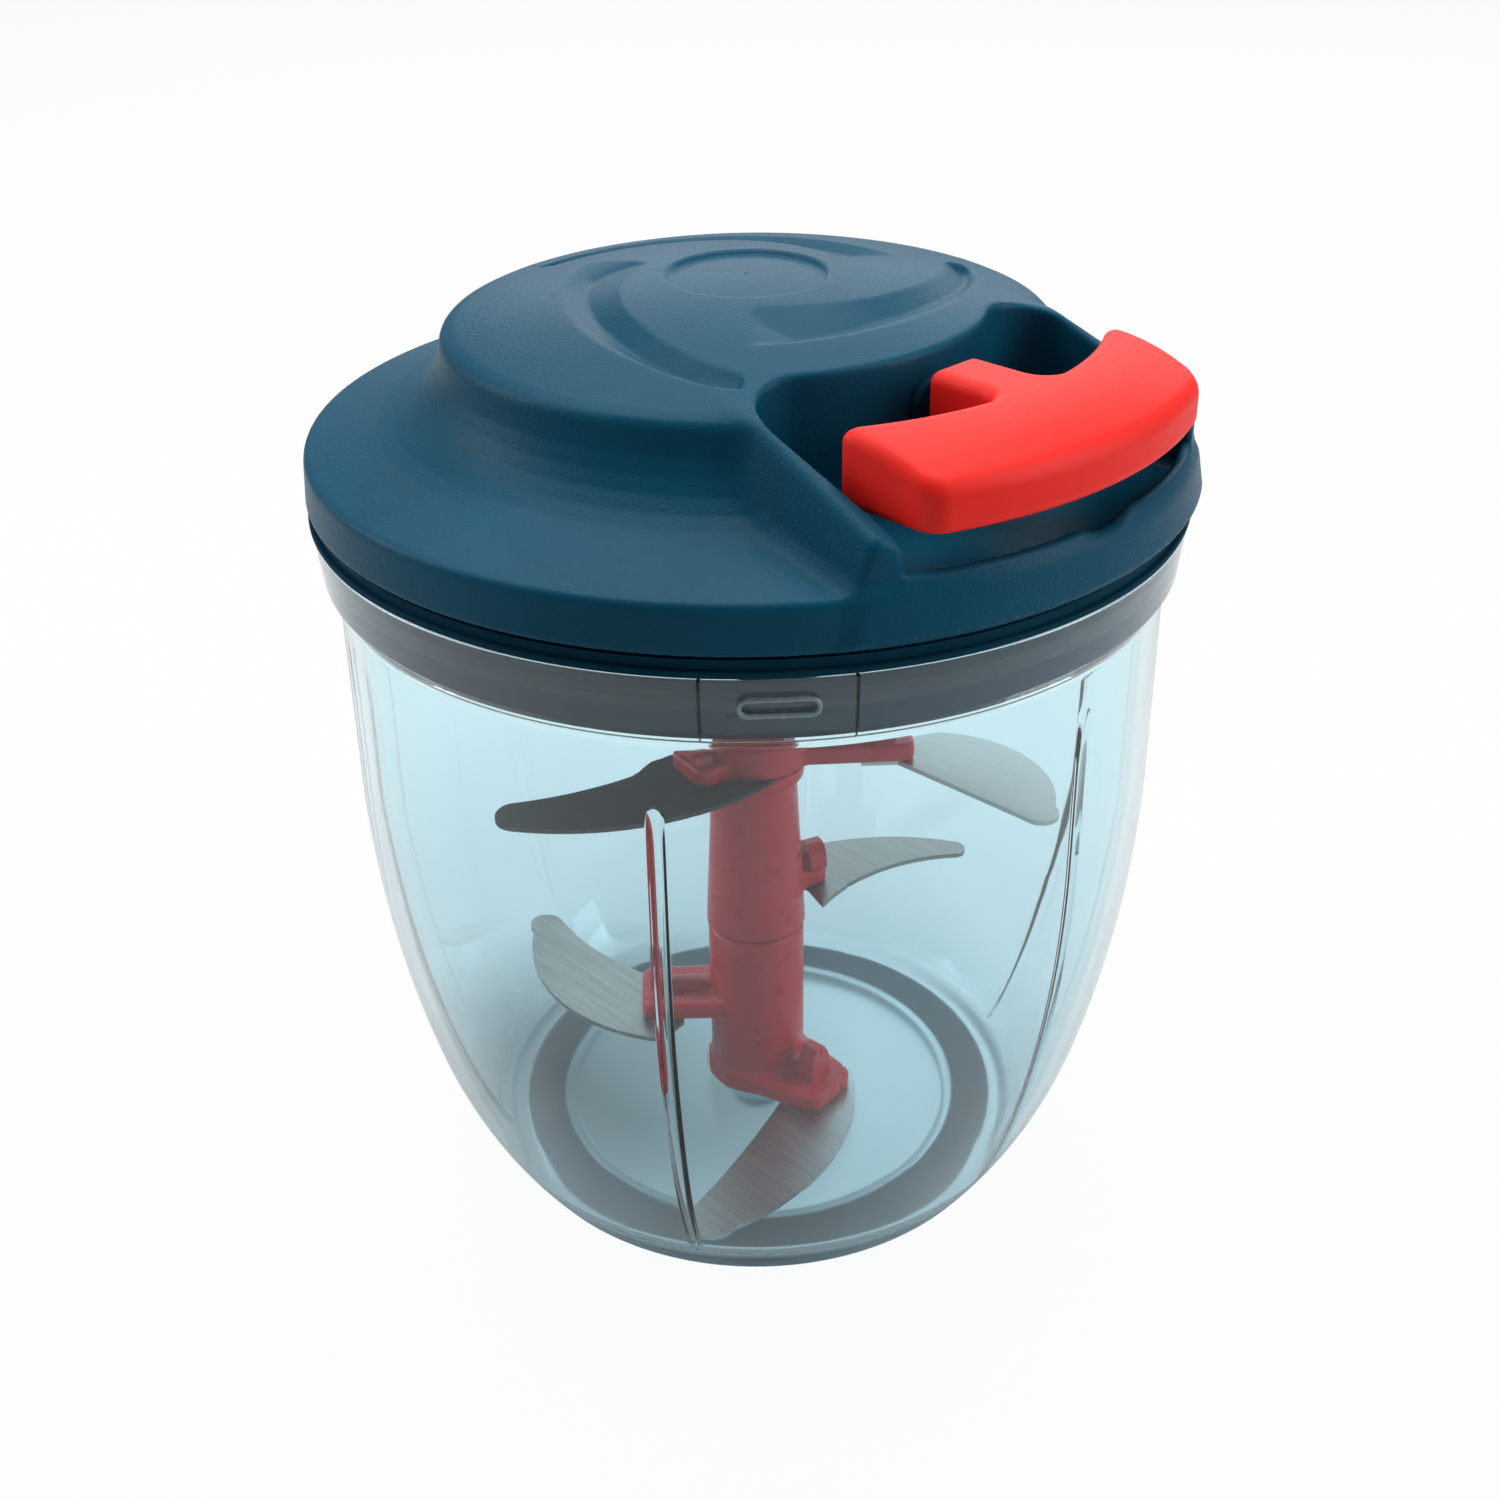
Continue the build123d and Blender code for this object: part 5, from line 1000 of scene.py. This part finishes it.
rim_shade_lip()
# Pale beads on the catch marks' outlines: a raised bead, its pale colour painted highlight for the
# bright edges of the clear marks.
MARK_EDGE_HIGHLIGHT = moulded(
    "mark_edge_highlight", srgb(120, 140, 148), srgb(132, 152, 160), 0.25, 600, 0.00001, 0.1, 0.5
)
for quarter, azimuth in enumerate(WINDOWS):
    bead(f"catch_mark_{quarter}", mark_path(azimuth), MARK_BEAD,
         "bowl", MARK_EDGE_HIGHLIGHT)


# ---- camera, floor and light ---------------------------------------------------------------------
CAMERA_ANGLES = (29.60, -0.117, -0.893)
CAMERA_SPOT = (0, -0.27735, 0.22818)
SENSOR = 36.0
FOCAL_PIXELS = 1994.2
PHOTO_PIXELS = 1500


def place_camera():
    """The photograph's own viewpoint, worked out from the ellipses of the lid and bowl."""
    turn = Matrix.Rotation(radians(PHOTO_AZIMUTH), 3, "Z")
    pitch, yaw, roll = [radians(angle) for angle in CAMERA_ANGLES]
    forward = Vector((sin(yaw) * cos(pitch), cos(yaw) * cos(pitch), -sin(pitch)))
    right = forward.cross(Vector((0, 0, 1))).normalized()
    up = right.cross(forward)
    right, up = (cos(roll) * right + sin(roll) * up, -sin(roll) * right + cos(roll) * up)
    axes = [turn @ v for v in (right, up, -forward)]
    camera = bpy.data.objects.new("camera", bpy.data.cameras.new("camera"))
    camera.data.sensor_width = SENSOR
    camera.data.lens = SENSOR * FOCAL_PIXELS / PHOTO_PIXELS
    camera.data.clip_start = 0.01
    spot = turn @ Vector(CAMERA_SPOT)
    camera.matrix_world = Matrix(
        [[axes[0][k], axes[1][k], axes[2][k], spot[k]] for k in range(3)] + [[0, 0, 0, 1]]
    )
    bpy.context.scene.collection.objects.link(camera)
    bpy.context.scene.camera = camera


def seen(tree, rays, strength):
    """A factor that holds for the named kinds of ray, and is 0 for all the light on the object."""
    path = tree.nodes.new("ShaderNodeLightPath")
    total = path.outputs[rays[0]]
    for ray in rays[1:]:
        either = tree.nodes.new("ShaderNodeMath")
        either.operation = "MAXIMUM"
        tree.links.new(total, either.inputs[0])
        tree.links.new(path.outputs[ray], either.inputs[1])
        total = either.outputs[0]
    share = tree.nodes.new("ShaderNodeMath")
    share.operation = "MULTIPLY"
    share.inputs[1].default_value = strength
    tree.links.new(total, share.inputs[0])
    return share.outputs[0]


def layer(tree, under, over, factor, out=None):
    """One shader over another by a factor, linked to an output if one is given."""
    mix = tree.nodes.new("ShaderNodeMixShader")
    tree.links.new(factor, mix.inputs[0])
    tree.links.new(under, mix.inputs[1])
    tree.links.new(over, mix.inputs[2])
    if out is not None:
        tree.links.new(mix.outputs[0], out)
    return mix.outputs[0]


SHADE_CENTRE = (-0.032, 0.005, 0.0)
SHADE_SIZE = (0.142, 0.15, 1.0)
SHADE_TINT = (0.975, 1.0, 1.0)
SHADE = [
    (0.0, 0.17), (0.12, 0.27), (0.24, 0.56), (0.36, 0.86), (0.55, 0.88), (0.80, 0.94), (1.0, 1.0),
]


def table_shade(tree):
    """What the table looks like through the bowl: white far off, greyer in the bowl's own shade."""
    coords = tree.nodes.new("ShaderNodeTexCoord")
    place = tree.nodes.new("ShaderNodeMapping")
    place.vector_type = "TEXTURE"
    turn = radians(PHOTO_AZIMUTH)
    centre = Matrix.Rotation(turn, 3, "Z") @ Vector(SHADE_CENTRE)
    place.inputs["Location"].default_value = centre
    place.inputs["Rotation"].default_value = (0, 0, turn)
    place.inputs["Scale"].default_value = SHADE_SIZE
    tree.links.new(coords.outputs["Object"], place.inputs["Vector"])
    ball = tree.nodes.new("ShaderNodeVectorMath")
    ball.operation = "LENGTH"
    tree.links.new(place.outputs["Vector"], ball.inputs[0])
    ramp = tree.nodes.new("ShaderNodeValToRGB")
    elements = ramp.color_ramp.elements
    while len(elements) < len(SHADE):
        elements.new(0.5)
    for element, (position, grey) in zip(elements, SHADE):
        element.position = position
        element.color = (*[grey * c for c in SHADE_TINT], 1.0)
    tree.links.new(ball.outputs["Value"], ramp.inputs["Fac"])
    glow = tree.nodes.new("ShaderNodeEmission")
    tree.links.new(ramp.outputs["Color"], glow.inputs["Color"])
    return glow.outputs[0]


FLOOR_HALF = 6.0


def make_floor():
    """The white table: grey paper to the lamps, near white to the camera, shaded in the bowl."""
    material = bpy.data.materials.new("floor_white")
    material.use_nodes = True
    tree = material.node_tree
    tree.nodes.clear()
    out = tree.nodes.new("ShaderNodeOutputMaterial")
    paper = tree.nodes.new("ShaderNodeBsdfDiffuse")
    paper.inputs["Color"].default_value = (0.62, 0.62, 0.62, 1)
    glow = tree.nodes.new("ShaderNodeEmission")
    glow.inputs["Color"].default_value = (1, 1, 1, 1)
    open_view = layer(tree, paper.outputs[0], glow.outputs[0],
                      seen(tree, ["Is Camera Ray"], 0.94))
    layer(tree, open_view, table_shade(tree), seen(tree, ["Is Transmission Ray"], 0.95),
          out.inputs["Surface"])
    mesh = bpy.data.meshes.new("floor")
    spots = [(FLOOR_HALF * x, FLOOR_HALF * y, 0) for x, y in ((-1, -1), (1, -1), (1, 1), (-1, 1))]
    mesh.from_pydata(spots, [], [(0, 1, 2, 3)])
    floor = bpy.data.objects.new("floor", mesh)
    mesh.materials.append(material)
    bpy.context.scene.collection.objects.link(floor)


AIR = 0.16
MIRRORED = 0.22


def make_world():
    """Soft grey air that lights the object, and a white room with a dimmer front to look at."""
    world = bpy.data.worlds.new("studio")
    bpy.context.scene.world = world
    world.use_nodes = True
    tree = world.node_tree
    tree.nodes.clear()
    out = tree.nodes.new("ShaderNodeOutputWorld")
    air = tree.nodes.new("ShaderNodeBackground")
    air.inputs["Color"].default_value = (0.94, 0.97, 1.0, 1)
    air.inputs["Strength"].default_value = AIR
    white = tree.nodes.new("ShaderNodeBackground")
    white.inputs["Color"].default_value = (1, 1, 1, 1)
    room = tree.nodes.new("ShaderNodeBackground")
    coords = tree.nodes.new("ShaderNodeTexCoord")
    turned = tree.nodes.new("ShaderNodeMapping")
    turned.inputs["Rotation"].default_value = (0, 0, radians(-PHOTO_AZIMUTH))
    split = tree.nodes.new("ShaderNodeSeparateXYZ")
    ramp = tree.nodes.new("ShaderNodeValToRGB")
    elements = ramp.color_ramp.elements
    elements[0].position, elements[0].color = 0.15, (0.22, 0.24, 0.25, 1)
    elements[1].position, elements[1].color = 0.62, (1, 1, 1, 1)
    spread = tree.nodes.new("ShaderNodeMapRange")
    spread.inputs["From Min"].default_value = -1.0
    tree.links.new(coords.outputs["Generated"], turned.inputs["Vector"])
    tree.links.new(turned.outputs["Vector"], split.inputs["Vector"])
    tree.links.new(split.outputs["Y"], spread.inputs["Value"])
    tree.links.new(spread.outputs["Result"], ramp.inputs["Fac"])
    tree.links.new(ramp.outputs["Color"], room.inputs["Color"])
    lit = layer(tree, air.outputs[0], room.outputs[0], seen(tree, ["Is Glossy Ray"], MIRRORED))
    lit = layer(tree, lit, room.outputs[0], seen(tree, ["Is Transmission Ray"], 1.0))
    layer(tree, lit, white.outputs[0], seen(tree, ["Is Camera Ray"], 1.0), out.inputs["Surface"])


def softbox(name, azimuth, elevation, distance, size, power, target=(0, 0, 0.09)):
    """A square lamp at an azimuth from the camera's side, aimed at the object."""
    data = bpy.data.lights.new(name, "AREA")
    data.shape = "RECTANGLE"
    data.size, data.size_y = size
    data.energy = power
    lamp = bpy.data.objects.new(name, data)
    a, e = radians(azimuth + PHOTO_AZIMUTH), radians(elevation)
    spot = Vector(target) + distance * Vector((cos(e) * sin(a), -cos(e) * cos(a), sin(e)))
    lamp.location = spot
    lamp.rotation_euler = (Vector(target) - spot).to_track_quat("-Z", "Y").to_euler()
    bpy.context.scene.collection.objects.link(lamp)


place_camera()
make_floor()
make_world()
softbox("key", 186, 74, 0.9, (0.9, 0.9), 8.8)
softbox("back", 168, 22, 1.1, (1.2, 0.5), 3.0)
softbox("left", -100, 32, 0.9, (0.4, 0.8), 3.6)
softbox("right", 78, 28, 0.9, (0.4, 0.8), 4.4)
bpy.context.scene.view_settings.view_transform = "Standard"

bpy.context.view_layer.update()
